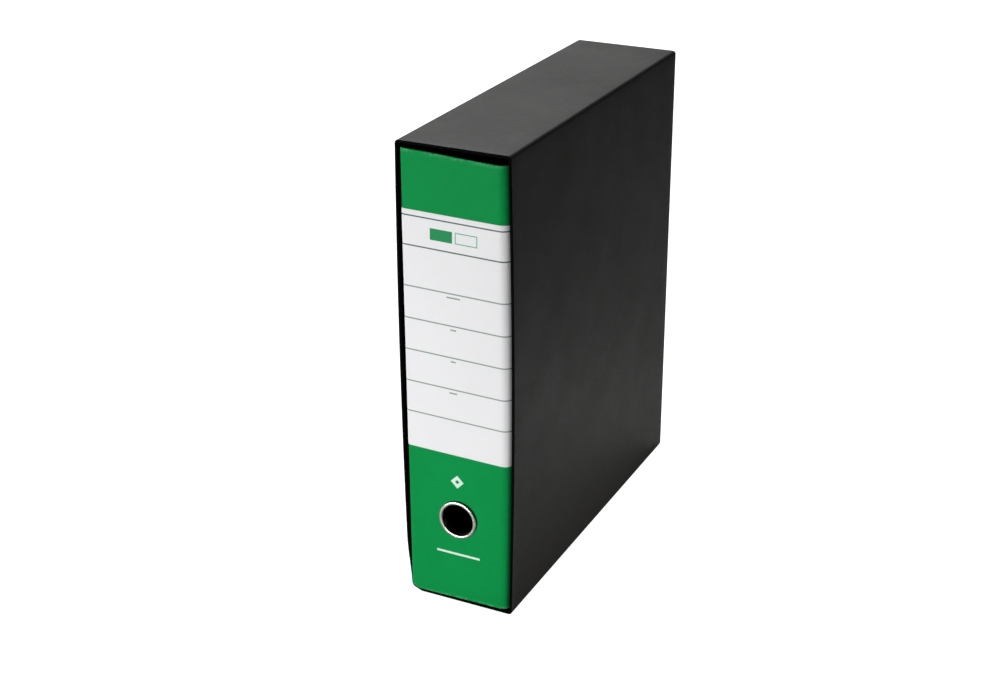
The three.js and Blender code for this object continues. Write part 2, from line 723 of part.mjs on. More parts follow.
// A lock plate with a slot round the post and a finger tab standing up at its outer end.
function buildLock(name, side) {
  const seat = barMetal + layerGap;
  const t = lockThickness;
  const inner = postHalf - lockBeforePost;
  const outer = postHalf + lockPastPost;
  const flat = box([-lockHalfWidth, seat, inner], [lockHalfWidth, seat + t, outer]);
  const tabTop = seat + lockTabHeight;
  const tab = box([-lockTabHalfWidth, seat, outer - t], [lockTabHalfWidth, tabTop, outer]);
  const slotHalf = postRadius + layerGap;
  const slotEnd = -postHalf - slotHalf - lockTravel;
  const nearRound = 0.98 * slotHalf; // a full round would put two corners' ends on one point
  const slot = roundedRectangle(-slotHalf, slotEnd, slotHalf, -postHalf + slotHalf, nearRound);
  const plate = cut(join(flat, tab), upright(slot, 3 * t).translate(0, seat - t, 0));
  piece(compressor, name, side > 0 ? plate : plate.rotateY(Math.PI), springSteel);
}

buildSlipcase();
buildSpine();
buildCovers();
buildPlate();
buildPost("upper_post", -1);
buildPost("lower_post", 1);
buildArch();
buildLever();
buildLeverPins();
buildSpring();
buildFixingRivets();
buildCompressor();

export default group;
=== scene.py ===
"""Looks of the lever arch file in its slipcase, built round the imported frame.

Every new piece is a surface worked out in millimetres in the row frame: +Z is up, the spine faces -Y
and the rear cover, which carries the mechanism, is on the -X side. Places come from the CAD nodes' boxes."""

import json
import math

import bmesh
import bpy
import numpy as np
from mathutils import Matrix, Vector


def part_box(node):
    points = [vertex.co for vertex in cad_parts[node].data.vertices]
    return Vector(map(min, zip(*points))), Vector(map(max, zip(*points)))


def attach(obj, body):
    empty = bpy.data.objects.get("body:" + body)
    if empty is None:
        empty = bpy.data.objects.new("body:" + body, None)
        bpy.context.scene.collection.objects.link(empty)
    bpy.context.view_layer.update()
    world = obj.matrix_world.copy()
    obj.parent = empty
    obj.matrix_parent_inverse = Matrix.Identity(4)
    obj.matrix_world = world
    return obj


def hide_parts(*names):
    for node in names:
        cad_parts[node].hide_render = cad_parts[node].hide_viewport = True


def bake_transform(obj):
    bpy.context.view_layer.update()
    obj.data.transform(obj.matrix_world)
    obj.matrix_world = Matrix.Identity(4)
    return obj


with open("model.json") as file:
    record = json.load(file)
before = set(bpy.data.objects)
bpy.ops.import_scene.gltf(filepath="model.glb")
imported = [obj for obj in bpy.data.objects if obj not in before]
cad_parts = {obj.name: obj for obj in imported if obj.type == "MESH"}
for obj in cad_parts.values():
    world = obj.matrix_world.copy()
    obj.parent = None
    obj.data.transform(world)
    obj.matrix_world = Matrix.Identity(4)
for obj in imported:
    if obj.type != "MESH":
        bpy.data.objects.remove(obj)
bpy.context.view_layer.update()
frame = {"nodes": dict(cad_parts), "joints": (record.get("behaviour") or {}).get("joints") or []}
MM = 0.001
PIVOTS = {j["name"]: np.array(j["pos_m"]) / MM for j in frame["joints"] if "pos_m" in j}


def box(node):
    """Lowest and highest corner of a CAD node, in millimetres."""
    low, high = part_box(node)
    return np.array(low) / MM, np.array(high) / MM


# ---- Sizes read from the frame ----
CASE_LOW, CASE_HIGH = box("case_left_wall")[0], box("case_right_wall")[1]
BOARD = box("case_bottom_panel")[1][2]
CASE_BOW = CASE_HIGH[0] - box("case_right_wall")[0][0] - BOARD
CASE_HALF = CASE_HIGH[0] - CASE_BOW
CASE_DEPTH = CASE_HIGH[1] - CASE_LOW[1]
CASE_HEIGHT = CASE_HIGH[2]
SPINE_LOW, SPINE_HIGH = box("spine_board")
SPINE_HALF = -SPINE_LOW[0]
COVER_BOW = box("front_cover_board")[1][0] - SPINE_HALF
COVER_LOW = box("rear_cover_board")[0]
RIGHT_RADIUS, LEFT_RADIUS = 7.0, 2.6  # of the spine's two long folds
LABEL_LOW, LABEL_HIGH = box("spine_label")
RING_LOW, RING_HIGH = box("finger_ring_eyelet")
RING_Z = (RING_LOW[2] + RING_HIGH[2]) / 2
RING_FLANGE = (RING_HIGH[2] - RING_LOW[2]) / 2
MIDDLE = PIVOTS["lever_lift"][2]


# ---- Surfaces ----
def line(*stops, step):
    """Rising values that hold every stop, with even parts no longer than step between neighbours."""
    parts = []
    for a, b in zip(stops, stops[1:]):
        parts.append(np.linspace(a, b, max(2, math.ceil((b - a) / step - 1e-9) + 1))[:-1])
    return np.concatenate([*parts, [stops[-1]]])


def smoothstep(value, low, high):
    """0 below low, 1 above high, and an even turn between."""
    t = np.clip((value - low) / (high - low), 0, 1)
    return t * t * (3 - 2 * t)


def unit(vectors):
    """The same directions, each one long."""
    return vectors / np.linalg.norm(vectors, axis=-1, keepdims=True)


def lengths(path):
    """How far along a path each of its points is."""
    return np.concatenate([[0], np.cumsum(np.linalg.norm(np.diff(path, axis=0), axis=1))])


def quads(rows, columns, close_rows=False, close_columns=False):
    """Corner numbers of the faces between the points of a grid, row by row."""
    r, c = np.indices((rows - 1 + close_rows, columns - 1 + close_columns))
    r1, c1 = (r + 1) % rows, (c + 1) % columns
    r, r1 = r * columns, r1 * columns
    return np.stack([r + c, r + c1, r1 + c1, r1 + c], -1).reshape(-1, 4)


def merged(points, faces):
    """The same mesh with points that share a place made one, and faces left without area dropped."""
    keys = np.round(points / 1e-4).astype(np.int64)
    first, back = np.unique(keys, axis=0, return_index=True, return_inverse=True)[1:]
    faces = back.ravel()[faces]
    good = [f for f in (tuple(dict.fromkeys(row)) for row in faces.tolist()) if len(f) > 2]
    return points[first], good


def plan(u_stops, v_stops, step, holes=(), radius=0.0, corners=(1, 1, 1, 1)):
    """Flat mesh of a rectangle in (u, v) with round holes and round corners.

    Grid lines cross the rectangle. Each hole (u, v, radius, half) clears a square and fills it with rings
    that pass evenly from the square's sides to the circle. A corner (a, b) of a unit square goes to
    (a sqrt(1 - b^2 / 2), b sqrt(1 - a^2 / 2)), which lays its outer sides on a quarter circle."""
    u_all = sorted({*u_stops, *[h[0] + s * h[3] for h in holes for s in (-1, 1)]})
    v_all = sorted({*v_stops, *[h[1] + s * h[3] for h in holes for s in (-1, 1)]})
    us, vs = line(*u_all, step=step), line(*v_all, step=step)
    grid_u, grid_v = np.meshgrid(us, vs, indexing="ij")
    points = [np.stack([grid_u, grid_v], -1).reshape(-1, 2)]
    faces = quads(len(us), len(vs))
    centre = points[0][faces].mean(1)
    keep = np.ones(len(faces), bool)
    for u, v, _, half in holes:
        keep &= np.abs(centre - (u, v)).max(1) > half
    faces, total = [faces[keep]], len(points[0])
    for u, v, hole, half in holes:
        ru, rv = us[np.abs(us - u) <= half + 1e-6], vs[np.abs(vs - v) <= half + 1e-6]
        rim = np.concatenate(
            [
                np.stack([np.full(len(rv) - 1, ru[-1]), rv[:-1]], -1),
                np.stack([ru[:0:-1], np.full(len(ru) - 1, rv[-1])], -1),
                np.stack([np.full(len(rv) - 1, ru[0]), rv[:0:-1]], -1),
                np.stack([ru[:-1], np.full(len(ru) - 1, rv[0])], -1),
            ]
        )
        turn = np.arctan2(rim[:, 1] - v, rim[:, 0] - u)
        circle = np.stack([u + hole * np.cos(turn), v + hole * np.sin(turn)], -1)
        share = np.linspace(0, 1, 5)[:, None, None]
        rings = (rim * (1 - share) + circle * share).reshape(-1, 2)
        points.append(rings)
        faces.append(quads(5, len(rim), close_columns=True)[:, ::-1] + total)
        total += len(rings)
    flat, faces = np.concatenate(points), np.concatenate(faces)
    if radius:
        flat = round_corners(flat, (us[0], vs[0]), (us[-1], vs[-1]), radius, corners)
    return merged(flat, faces)


def round_corners(flat, low, high, radius, corners):
    """Points near the corners of a rectangle moved onto and inside quarter circles."""
    flat = flat.copy()
    for k, (cu, cv) in enumerate([(0, 0), (1, 0), (1, 1), (0, 1)]):
        if not corners[k]:
            continue
        sign = np.array([2 * cu - 1, 2 * cv - 1])
        seat = np.where([cu, cv], high, low) - sign * radius
        ab = (flat - seat) * sign / radius
        inside = (ab > 1e-9).all(1)
        a, b = ab[inside].T
        bent = np.stack([a * np.sqrt(1 - b * b / 2), b * np.sqrt(1 - a * a / 2)], -1)
        flat[inside] = seat + bent * sign * radius
    return flat


def slab(flat, faces, front, back):
    """A sheet with thickness: the plan laid on a front and on a back surface, its open edges joined."""
    a, b = front(*flat.T), back(*flat.T)
    n = len(flat)
    edges = {}
    for f in faces:
        for i, j in zip(f, f[1:] + f[:1]):
            edges[i, j] = True
    rim = [(i, j) for i, j in edges if (j, i) not in edges]
    sides = [(j, i, i + n, j + n) for i, j in rim]
    return np.concatenate([a, b]), [*faces, *[tuple(k + n for k in f[::-1]) for f in faces], *sides]


def lathe(profile, sides, closed=False):
    """A profile of (radius, height) turned round the height axis, as (x, y, height)."""
    profile = np.array(profile, float)
    turn = np.linspace(0, 2 * np.pi, sides, endpoint=False)
    r, h = profile[:, 0][:, None], profile[:, 1][:, None]
    points = np.stack([r * np.cos(turn), r * np.sin(turn), h + 0 * turn], -1)
    return merged(points.reshape(-1, 3), quads(len(profile), sides, closed, True))


def tube(path, radius, sides):
    """A round bar along a path: rings square to it, turned as little as can be from one to the next."""
    path = np.array(path, float)
    tangent = unit(np.gradient(path, axis=0))
    normal = np.cross(tangent[0], [0.3, 0.5, 0.8])
    normals = []
    for t in tangent:
        normal = unit(normal - t * (normal @ t))
        normals.append(normal)
    normals = np.array(normals)
    binormals = np.cross(tangent, normals)
    turn = np.linspace(0, 2 * np.pi, sides, endpoint=False)
    radius = np.broadcast_to(np.asarray(radius, float), len(path))[:, None, None]
    around = normals[:, None] * np.cos(turn)[:, None] + binormals[:, None] * np.sin(turn)[:, None]
    points = (path[:, None] + radius * around).reshape(-1, 3)
    return points, quads(len(path), sides, False, True)


def bent_path(corners, radii, per_bend, step):
    """Straight runs between corners, each corner an arc of its own radius that touches both runs."""
    corners = np.array(corners, float)
    found = [corners[0]]
    for i in range(1, len(corners) - 1):
        into, out = unit(corners[i] - corners[i - 1]), unit(corners[i + 1] - corners[i])
        turn = math.acos(np.clip(into @ out, -1, 1))
        centre = corners[i] + unit(out - into) * radii[i - 1] / math.cos(turn / 2)
        start = corners[i] - into * radii[i - 1] * math.tan(turn / 2) - centre
        angle = np.linspace(0, turn, per_bend)[:, None]
        found.extend(centre + start * np.cos(angle) + into * radii[i - 1] * np.sin(angle))
    found.append(corners[-1])
    found = np.array(found)
    runs = []
    for a, b in zip(found, found[1:]):
        runs.append(np.linspace(a, b, max(2, math.ceil(np.linalg.norm(b - a) / step) + 1))[:-1])
    return np.concatenate([*runs, found[-1:]])


def rubbed_edges(low, high, reach):
    """Wear of a box-shaped piece: 1 on its edges, falling off over reach.

    It is the bell curve of the second smallest distance to a side."""

    def wear(points):
        near = np.minimum(points - low, high - points)
        return np.exp(-((np.sort(near, axis=1)[:, 1] / reach) ** 2))

    return wear


# ---- Pieces ----
PRESSED = {"smooth": 45, "segments": 2}


def places(items, key):
    """Where a mesh's points or faces are, in millimetres."""
    found = np.zeros(len(items) * 3)
    items.foreach_get(key, found)
    return found.reshape(-1, 3) / MM


def piece(name, shape, body, finish, stands_for=(), bevel=0.0, wear=None, smooth=40, segments=3):
    """A finished mesh of (points, faces) in millimetres, riding on a body and standing for CAD nodes.

    The attribute "edge" says how rubbed each point is; along the spine's top end it also carries a painted
    highlight. Edges sharper than smooth, in degrees, stay sharp."""
    points, faces = shape
    faces = faces.tolist() if isinstance(faces, np.ndarray) else [list(f) for f in faces]
    mesh = bpy.data.meshes.new(name)
    mesh.from_pydata((np.asarray(points) * MM).tolist(), [], faces)
    solid = bmesh.new()
    solid.from_mesh(mesh)
    bmesh.ops.remove_doubles(solid, verts=solid.verts, dist=2e-6)
    bmesh.ops.dissolve_degenerate(solid, edges=solid.edges, dist=1e-7)
    bmesh.ops.recalc_face_normals(solid, faces=solid.faces)
    solid.to_mesh(mesh)
    solid.free()
    rubbed = wear(places(mesh.vertices, "co")) if wear else np.zeros(len(mesh.vertices))
    mesh.attributes.new("edge", "FLOAT", "POINT").data.foreach_set("value", rubbed.astype(np.float32))
    mesh.polygons.foreach_set("use_smooth", np.ones(len(mesh.polygons), bool))
    mesh.set_sharp_from_angle(angle=math.radians(smooth))
    mesh.materials.append(finish)
    made = bpy.data.objects.new(name, mesh)
    bpy.context.scene.collection.objects.link(made)
    if bevel:
        rounding = made.modifiers.new("rounded edges", "BEVEL")
        rounding.width, rounding.segments = bevel * MM, segments
        rounding.limit_method, rounding.angle_limit = "ANGLE", math.radians(smooth)
    if body:
        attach(made, body)
    if stands_for:
        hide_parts(*stands_for)
    return made


def joined(*shapes):
    """Several (points, faces) as one."""
    points, faces, total = [], [], 0
    for p, f in shapes:
        f = f.tolist() if isinstance(f, np.ndarray) else f
        points.append(np.asarray(p))
        faces += [tuple(k + total for k in row) for row in f]
        total += len(p)
    return np.concatenate(points), faces


# ---- Shader groups shared by the materials ----
class Nodes:
    """Adds nodes to a tree, laid out in the order they are made."""

    def __init__(self, tree):
        self.tree, self.count = tree, 0

    def add(self, kind, inputs=None, **settings):
        node = self.tree.nodes.new(kind)
        node.location = (180 * self.count, 0)
        self.count += 1
        for key, value in settings.items():
            setattr(node, key, value)
        for key, value in (inputs or {}).items():
            self.feed(node.inputs[key], value)
        return node

    def feed(self, target, value):
        if isinstance(value, bpy.types.NodeSocket):
            self.tree.links.new(value, target)
        else:
            target.default_value = value

    def math(self, operation, a, b=0.0, clamp=False):
        return self.add("ShaderNodeMath", {0: a, 1: b}, operation=operation, use_clamp=clamp).outputs[0]

    def weighted(self, a, share_a, b, share_b):
        return self.math("ADD", self.math("MULTIPLY", a, share_a), self.math("MULTIPLY", b, share_b))

    def vector(self, operation, a, b=(0.0, 0.0, 0.0)):
        return self.add("ShaderNodeVectorMath", {0: a, 1: b}, operation=operation).outputs[0]

    def noise(self, vector, scale, detail=3.0, roughness=0.5):
        settings = {"Vector": vector, "Scale": scale, "Detail": detail, "Roughness": roughness}
        return self.add("ShaderNodeTexNoise", settings).outputs["Fac"]

    def ramp(self, value, low, high, to_low=0.0, to_high=1.0):
        settings = {"Value": value, "From Min": low, "From Max": high, "To Min": to_low, "To Max": to_high}
        return self.add("ShaderNodeMapRange", settings, clamp=True).outputs[0]

    def mix(self, share, a, b):
        node = self.add("ShaderNodeMix", data_type="RGBA")
        self.feed(node.inputs[0], share)
        self.feed(node.inputs[6], a)
        self.feed(node.inputs[7], b)
        return node.outputs[2]

    def group(self, tree, **inputs):
        node = self.add("ShaderNodeGroup", node_tree=tree)
        for key, value in inputs.items():
            self.feed(node.inputs[key], value)
        return node.outputs


def shader_group(name, vectors, numbers, outputs):
    """An empty node group with named sockets: its tree, its Nodes, its inputs to read and outputs to feed."""
    tree = bpy.data.node_groups.new(name, "ShaderNodeTree")
    sockets = [("INPUT", "Vector", vectors), ("INPUT", "Float", numbers), ("OUTPUT", "Float", outputs)]
    for way, kind, keys in sockets:
        for key in keys:
            tree.interface.new_socket(name=key, in_out=way, socket_type="NodeSocket" + kind)
    nodes = Nodes(tree)
    return tree, nodes, nodes.add("NodeGroupInput").outputs, nodes.add("NodeGroupOutput").inputs


def paper_grain_group():
    """Fibres and mottling of coated paper: a height for the bump and a tone that varies slowly."""
    tree, n, source, out = shader_group("paper grain", ["Place"], ["Grain", "Emboss"], ["Height", "Tone"])
    place = source["Place"]
    pebble = n.add("ShaderNodeTexVoronoi", {"Vector": place, "Scale": 1500.0, "Randomness": 0.85})
    cells = n.ramp(pebble.outputs["Distance"], 0.15, 0.6, 1.0, 0.0)
    fibre = n.noise(place, source["Grain"], 4.0, 0.6)
    n.feed(out["Height"], n.weighted(cells, source["Emboss"], fibre, 1.0))
    broad, fine = n.noise(place, 22.0, 3.0, 0.55), n.noise(place, 260.0, 2.0)
    n.feed(out["Tone"], n.weighted(broad, 0.65, fine, 0.35))
    return tree


def edge_wear_group():
    """Rubbed edges: the edge attribute broken up by noise."""
    tree, n, source, out = shader_group("edge wear", ["Place"], ["Edge", "Amount"], ["Mask"])
    place = source["Place"]
    broken = n.math("MULTIPLY", n.noise(place, 90.0, 4.0, 0.65), n.noise(place, 600.0))
    rubbed = n.math("MULTIPLY", source["Edge"], n.ramp(broken, 0.2, 0.42))
    n.feed(out["Mask"], n.math("MULTIPLY", rubbed, source["Amount"], clamp=True))
    return tree


def dust_group():
    """Thin dust that settles where a face looks up, gathered in loose patches and specks."""
    tree, n, source, out = shader_group("settled dust", ["Place"], ["Amount"], ["Mask"])
    normal = n.add("ShaderNodeNewGeometry").outputs["Normal"]
    facing = n.add("ShaderNodeSeparateXYZ", {0: normal}).outputs["Z"]
    patches = n.ramp(n.noise(source["Place"], 14.0, 4.0, 0.6), 0.35, 0.7)
    specks = n.ramp(n.noise(source["Place"], 2600.0, 2.0), 0.62, 0.7)
    upward = n.math("MULTIPLY", n.ramp(facing, 0.4, 1.0), n.weighted(patches, 0.35, specks, 0.4))
    n.feed(out["Mask"], n.math("MULTIPLY", upward, source["Amount"], clamp=True))
    return tree


def metal_marks_group():
    """Plated metal: drawn lines along one axis, clouding and a few handling scratches."""
    outputs = ["Height", "Rough", "Tone"]
    tree, n, source, out = shader_group("metal marks", ["Place", "Stretch"], ["Cloud"], outputs)
    stretched = n.vector("MULTIPLY", source["Place"], source["Stretch"])
    drawn = n.noise(stretched, 1400.0, 3.0, 0.55)
    cloud = n.noise(source["Place"], 70.0, 4.0, 0.6)
    scratch = n.ramp(n.noise(stretched, 420.0, 1.0, 0.3), 0.66, 0.72)
    n.feed(out["Height"], n.weighted(scratch, 0.6, drawn, 1.0))
    n.feed(out["Rough"], n.weighted(cloud, source["Cloud"], drawn, 0.3))
    n.feed(out["Tone"], cloud)
    return tree


def bar_group():
    """A printed rectangle in the plane of the spine: 1 inside, a soft edge, 0 outside. Sizes in metres."""
    tree, n, source, out = shader_group("printed bar", ["Place", "Centre", "Half"], ["Soft"], ["Mask"])
    size = n.vector("ABSOLUTE", n.vector("SUBTRACT", source["Place"], source["Centre"]))
    left = n.add("ShaderNodeSeparateXYZ", {0: n.vector("SUBTRACT", source["Half"], size)}).outputs
    inside = n.math("MINIMUM", left["X"], left["Z"])
    n.feed(out["Mask"], n.math("ADD", n.math("DIVIDE", inside, source["Soft"]), 0.5, clamp=True))
    return tree


GRAIN, WEAR, DUST = paper_grain_group(), edge_wear_group(), dust_group()
MARKS, BAR = metal_marks_group(), bar_group()


# ---- Materials ----
def material(name):
    """A new material: its Nodes, its Principled shader and the object's own coordinates."""
    made = bpy.data.materials.new(name)
    made.use_nodes = True
    made.node_tree.nodes.clear()
    n = Nodes(made.node_tree)
    shader = n.add("ShaderNodeBsdfPrincipled")
    n.add("ShaderNodeOutputMaterial", {"Surface": shader.outputs[0]})
    return made, n, shader, n.add("ShaderNodeTexCoord").outputs["Object"]


def worn_base(n, place, color, spread, tone, wear):
    """A base colour that varies by spread with a tone, and the mask of its rubbed edges."""
    dark, light = [tuple(c * k for c in color) + (1.0,) for k in (1 - spread, 1 + spread)]
    edge = n.add("ShaderNodeAttribute", attribute_name="edge").outputs["Fac"]
    rubbed = n.group(WEAR, Place=place, Edge=edge, Amount=wear)["Mask"]
    return n.mix(n.ramp(tone, 0.3, 0.7), dark, light), rubbed


def finished(n, shader, base, rough, height, bump, deep):
    """Base colour, roughness and a bump that is deep metres high go into the shader."""
    n.feed(shader.inputs["Base Color"], base)
    n.feed(shader.inputs["Roughness"], rough)
    raised = n.add("ShaderNodeBump", {"Height": height, "Strength": bump, "Distance": deep})
    n.feed(shader.inputs["Normal"], raised.outputs[0])


def paper(name, color, rough, grain, emboss, bump, tone, worn, wear, dust, specular=0.5, ink=None):
    """Paper over board: mottled colour, rubbed lighter edges, dust, embossing, and ink if it is printed."""
    made, n, shader, place = material(name)
    skin = n.group(GRAIN, Place=place, Grain=grain, Emboss=emboss)
    base, rubbed = worn_base(n, place, color, tone, skin["Tone"], wear)
    if ink:
        base = ink(n, place, base)
    base = n.mix(rubbed, base, (*worn, 1.0))
    base = n.mix(n.group(DUST, Place=place, Amount=dust)["Mask"], base, (0.55, 0.53, 0.5, 1.0))
    shader.inputs["Specular IOR Level"].default_value = specular
    rough = n.ramp(skin["Tone"], 0.3, 0.7, rough - 0.06, rough + 0.06)
    finished(n, shader, base, rough, skin["Height"], bump, 0.00012)
    return made


def metal(name, color, rough, bump, stretch=(1.0, 1.0, 1.0), cloud=0.4, tone=0.08, tarnish=(0.3, 0.26, 0.2)):
    """Plated or bare steel with drawn lines, clouding and duller edges."""
    made, n, shader, place = material(name)
    marks = n.group(MARKS, Place=place, Stretch=stretch, Cloud=cloud)
    base, rubbed = worn_base(n, place, color, tone, marks["Tone"], 0.4)
    shader.inputs["Metallic"].default_value = 1.0
    rough = n.ramp(marks["Rough"], 0.2, 0.8, rough - 0.07, rough + 0.12)
    finished(n, shader, n.mix(rubbed, base, (*tarnish, 1.0)), rough, marks["Height"], bump, 0.00005)
    return made


def bar(n, place, x, z, half_x, half_z):
    """Mask of a printed bar, in millimetres."""
    centre, half = (x * MM, 0.0, z * MM), (half_x * MM, 1.0, half_z * MM)
    return n.group(BAR, Place=place, Centre=centre, Half=half, Soft=PRINT_SOFT * MM)["Mask"]


PRINT_SOFT = 0.12  # width of a printed edge
LABEL_GREEN = (0.006, 0.23, 0.075, 1.0)
OUTLINE_GREEN = (0.12, 0.42, 0.25, 1.0)
DASH_GREEN = (0.22, 0.3, 0.26, 1.0)
PRINT_WHITE = (0.6, 0.75, 0.65, 1.0)
RULE_HEIGHTS = [297.5, 276.0, 245.8, 221.8, 197.8, 173.5, 149.6]
RULE_COLORS = [(0.07, 0.12, 0.1, 1.0)] * 2 + [(0.24, 0.29, 0.27, 1.0)] * 5
DASH_HALVES = [5.2, 2.2, 2.0, 3.0]
HEADING_BAR = (8.5, 4.2)
HEADING_LINE = 0.8
MARK_HEIGHT = 101.0
LABEL_TILT = 0.0156
LABEL_RISE = 0.6
TILT_CENTRE = 210.0


def label_shift(x):
    """The label is stuck on slightly askew: how far it sits above its place, in millimetres."""
    return LABEL_RISE - LABEL_TILT * x


def label_ink(n, place, base):
    """Seven rules across the label, a solid bar beside an outlined one in the heading, and short dashes."""
    back = ((LABEL_TILT * TILT_CENTRE) * MM, 0.0, -LABEL_RISE * MM)
    askew = {"Vector": place, "Location": back, "Rotation": (0.0, -LABEL_TILT, 0.0)}
    place = n.add("ShaderNodeMapping", askew).outputs[0]
    for z, color in zip(RULE_HEIGHTS, RULE_COLORS):
        base = n.mix(bar(n, place, 0, z, 60, 0.5), base, color)
    for z, half in zip(RULE_HEIGHTS[2:], DASH_HALVES):
        base = n.mix(bar(n, place, -1.2, z - 3.0, half, 0.55), base, DASH_GREEN)
    middle = (RULE_HEIGHTS[0] + RULE_HEIGHTS[1]) / 2
    half_x, half_z = HEADING_BAR
    base = n.mix(bar(n, place, -10.5, middle, half_x, half_z), base, LABEL_GREEN)
    outer = bar(n, place, 8.5, middle, half_x, half_z)
    inner = bar(n, place, 8.5, middle, half_x - HEADING_LINE, half_z - HEADING_LINE)
    return n.mix(n.math("SUBTRACT", outer, inner, clamp=True), base, OUTLINE_GREEN)


def spine_ink(n, place, base):
    """A plain diamond above the finger ring and a thin bar below it."""
    parts = n.add("ShaderNodeSeparateXYZ", {0: place}).outputs
    x = n.math("ABSOLUTE", parts["X"])
    z = n.math("ABSOLUTE", n.math("SUBTRACT", parts["Z"], MARK_HEIGHT * MM))
    away = n.math("ADD", x, z)
    front = n.math("LESS_THAN", parts["Y"], SPINE_LOW[1] * MM + 0.0015)
    outer = n.ramp(away, 5.0 * MM, 5.3 * MM, 1.0, 0.0)
    inner = n.ramp(away, 1.6 * MM, 1.9 * MM, 0.0, 1.0)
    mark = n.math("MULTIPLY", outer, inner)
    mark = n.math("MAXIMUM", mark, bar(n, place, 0, 41.0, 17.5, 0.9))
    return n.mix(n.math("MULTIPLY", mark, front), base, PRINT_WHITE)


PAINTED_SHADE_BLACK = (0.003, 0.003, 0.003)
CASE_BLACK = paper(
    "case paper", (0.016, 0.0155, 0.0145), rough=0.5, grain=700.0, emboss=0.9, bump=0.3, tone=0.12,
    worn=(0.06, 0.056, 0.05), wear=0.4, dust=0.08, specular=0.25,
)
# Painted shade: near-black with no shine, for the inside of the case and the ends of its boards at the mouth.
CASE_PAINTED_SHADE = paper(
    "case painted shade", PAINTED_SHADE_BLACK, rough=0.7, grain=1000.0, emboss=0.0, bump=0.25, tone=0.1,
    worn=PAINTED_SHADE_BLACK, wear=0.0, dust=0.0, specular=0.0,
)
GREEN = {
    "color": (0.004, 0.236, 0.056), "rough": 0.45, "grain": 1100.0, "emboss": 0.25, "bump": 0.16,
    "tone": 0.06, "dust": 0.02, "specular": 0.015,
}
COVER_GREEN = paper("cover paper", worn=(0.1, 0.4, 0.2), wear=0.3, **GREEN)
# The light green on the spine's ends is laid on strongly. It is rubbed paper, and along the top end it is
# also a painted highlight on the board's edge.
SPINE_GREEN = paper("spine paper", worn=(0.12, 0.5, 0.24), wear=0.8, ink=spine_ink, **GREEN)
LABEL_WHITE = paper(
    "label paper", (0.725, 0.725, 0.735), rough=0.55, grain=1600.0, emboss=0.0, bump=0.1, tone=0.015,
    worn=(0.55, 0.54, 0.51), wear=0.3, dust=0.02, specular=0.12, ink=label_ink,
)
LINING = paper(
    "lining paper", (0.06, 0.062, 0.062), rough=0.7, grain=1000.0, emboss=0.0, bump=0.25, tone=0.05,
    worn=(0.5, 0.49, 0.46), wear=0.3, dust=0.15,
)
NICKEL = metal("nickel plate", (0.66, 0.66, 0.6), rough=0.34, bump=0.08)
DRAWN_NICKEL = metal("drawn nickel plate", (0.72, 0.7, 0.66), rough=0.2, bump=0.12, stretch=(4.0, 4.0, 0.3))
ZINC = metal(
    "zinc plate", (0.6, 0.61, 0.62), rough=0.33, bump=0.2, stretch=(3.0, 0.4, 3.0), cloud=0.9, tone=0.16
)
SPRING = metal(
    "spring steel", (0.36, 0.37, 0.39), rough=0.3, bump=0.15, stretch=(3.0, 3.0, 0.3), cloud=0.6, tone=0.12,
    tarnish=(0.16, 0.13, 0.1),
)


# ---- Slipcase ----
CASE_FOLD = 2.6
BACK_FOLD = 3.0
LAP = 14.0
LAP_STEP = 0.25
MOUTH_FOLD = 0.6
LEAN, LEAN_FROM, LEAN_TO = 1.6 / 0.84, 120, CASE_HEIGHT + 100
CRUSH, CRUSH_HEIGHT, CRUSH_DEPTH, CRUSH_WIDTH = 4.2, 45, 40, 9


def forward(y):
    """0 at the back of the case, 1 at its mouth."""
    return np.clip(1 - (y - CASE_LOW[1]) / CASE_DEPTH, 0, 1)


def case_bow(y, z):
    """How far a case wall stands out: a sine of the height, full at the mouth, none at the back."""
    return np.sin(np.pi * np.clip(z / CASE_HEIGHT, 0, 1)) * forward(y)


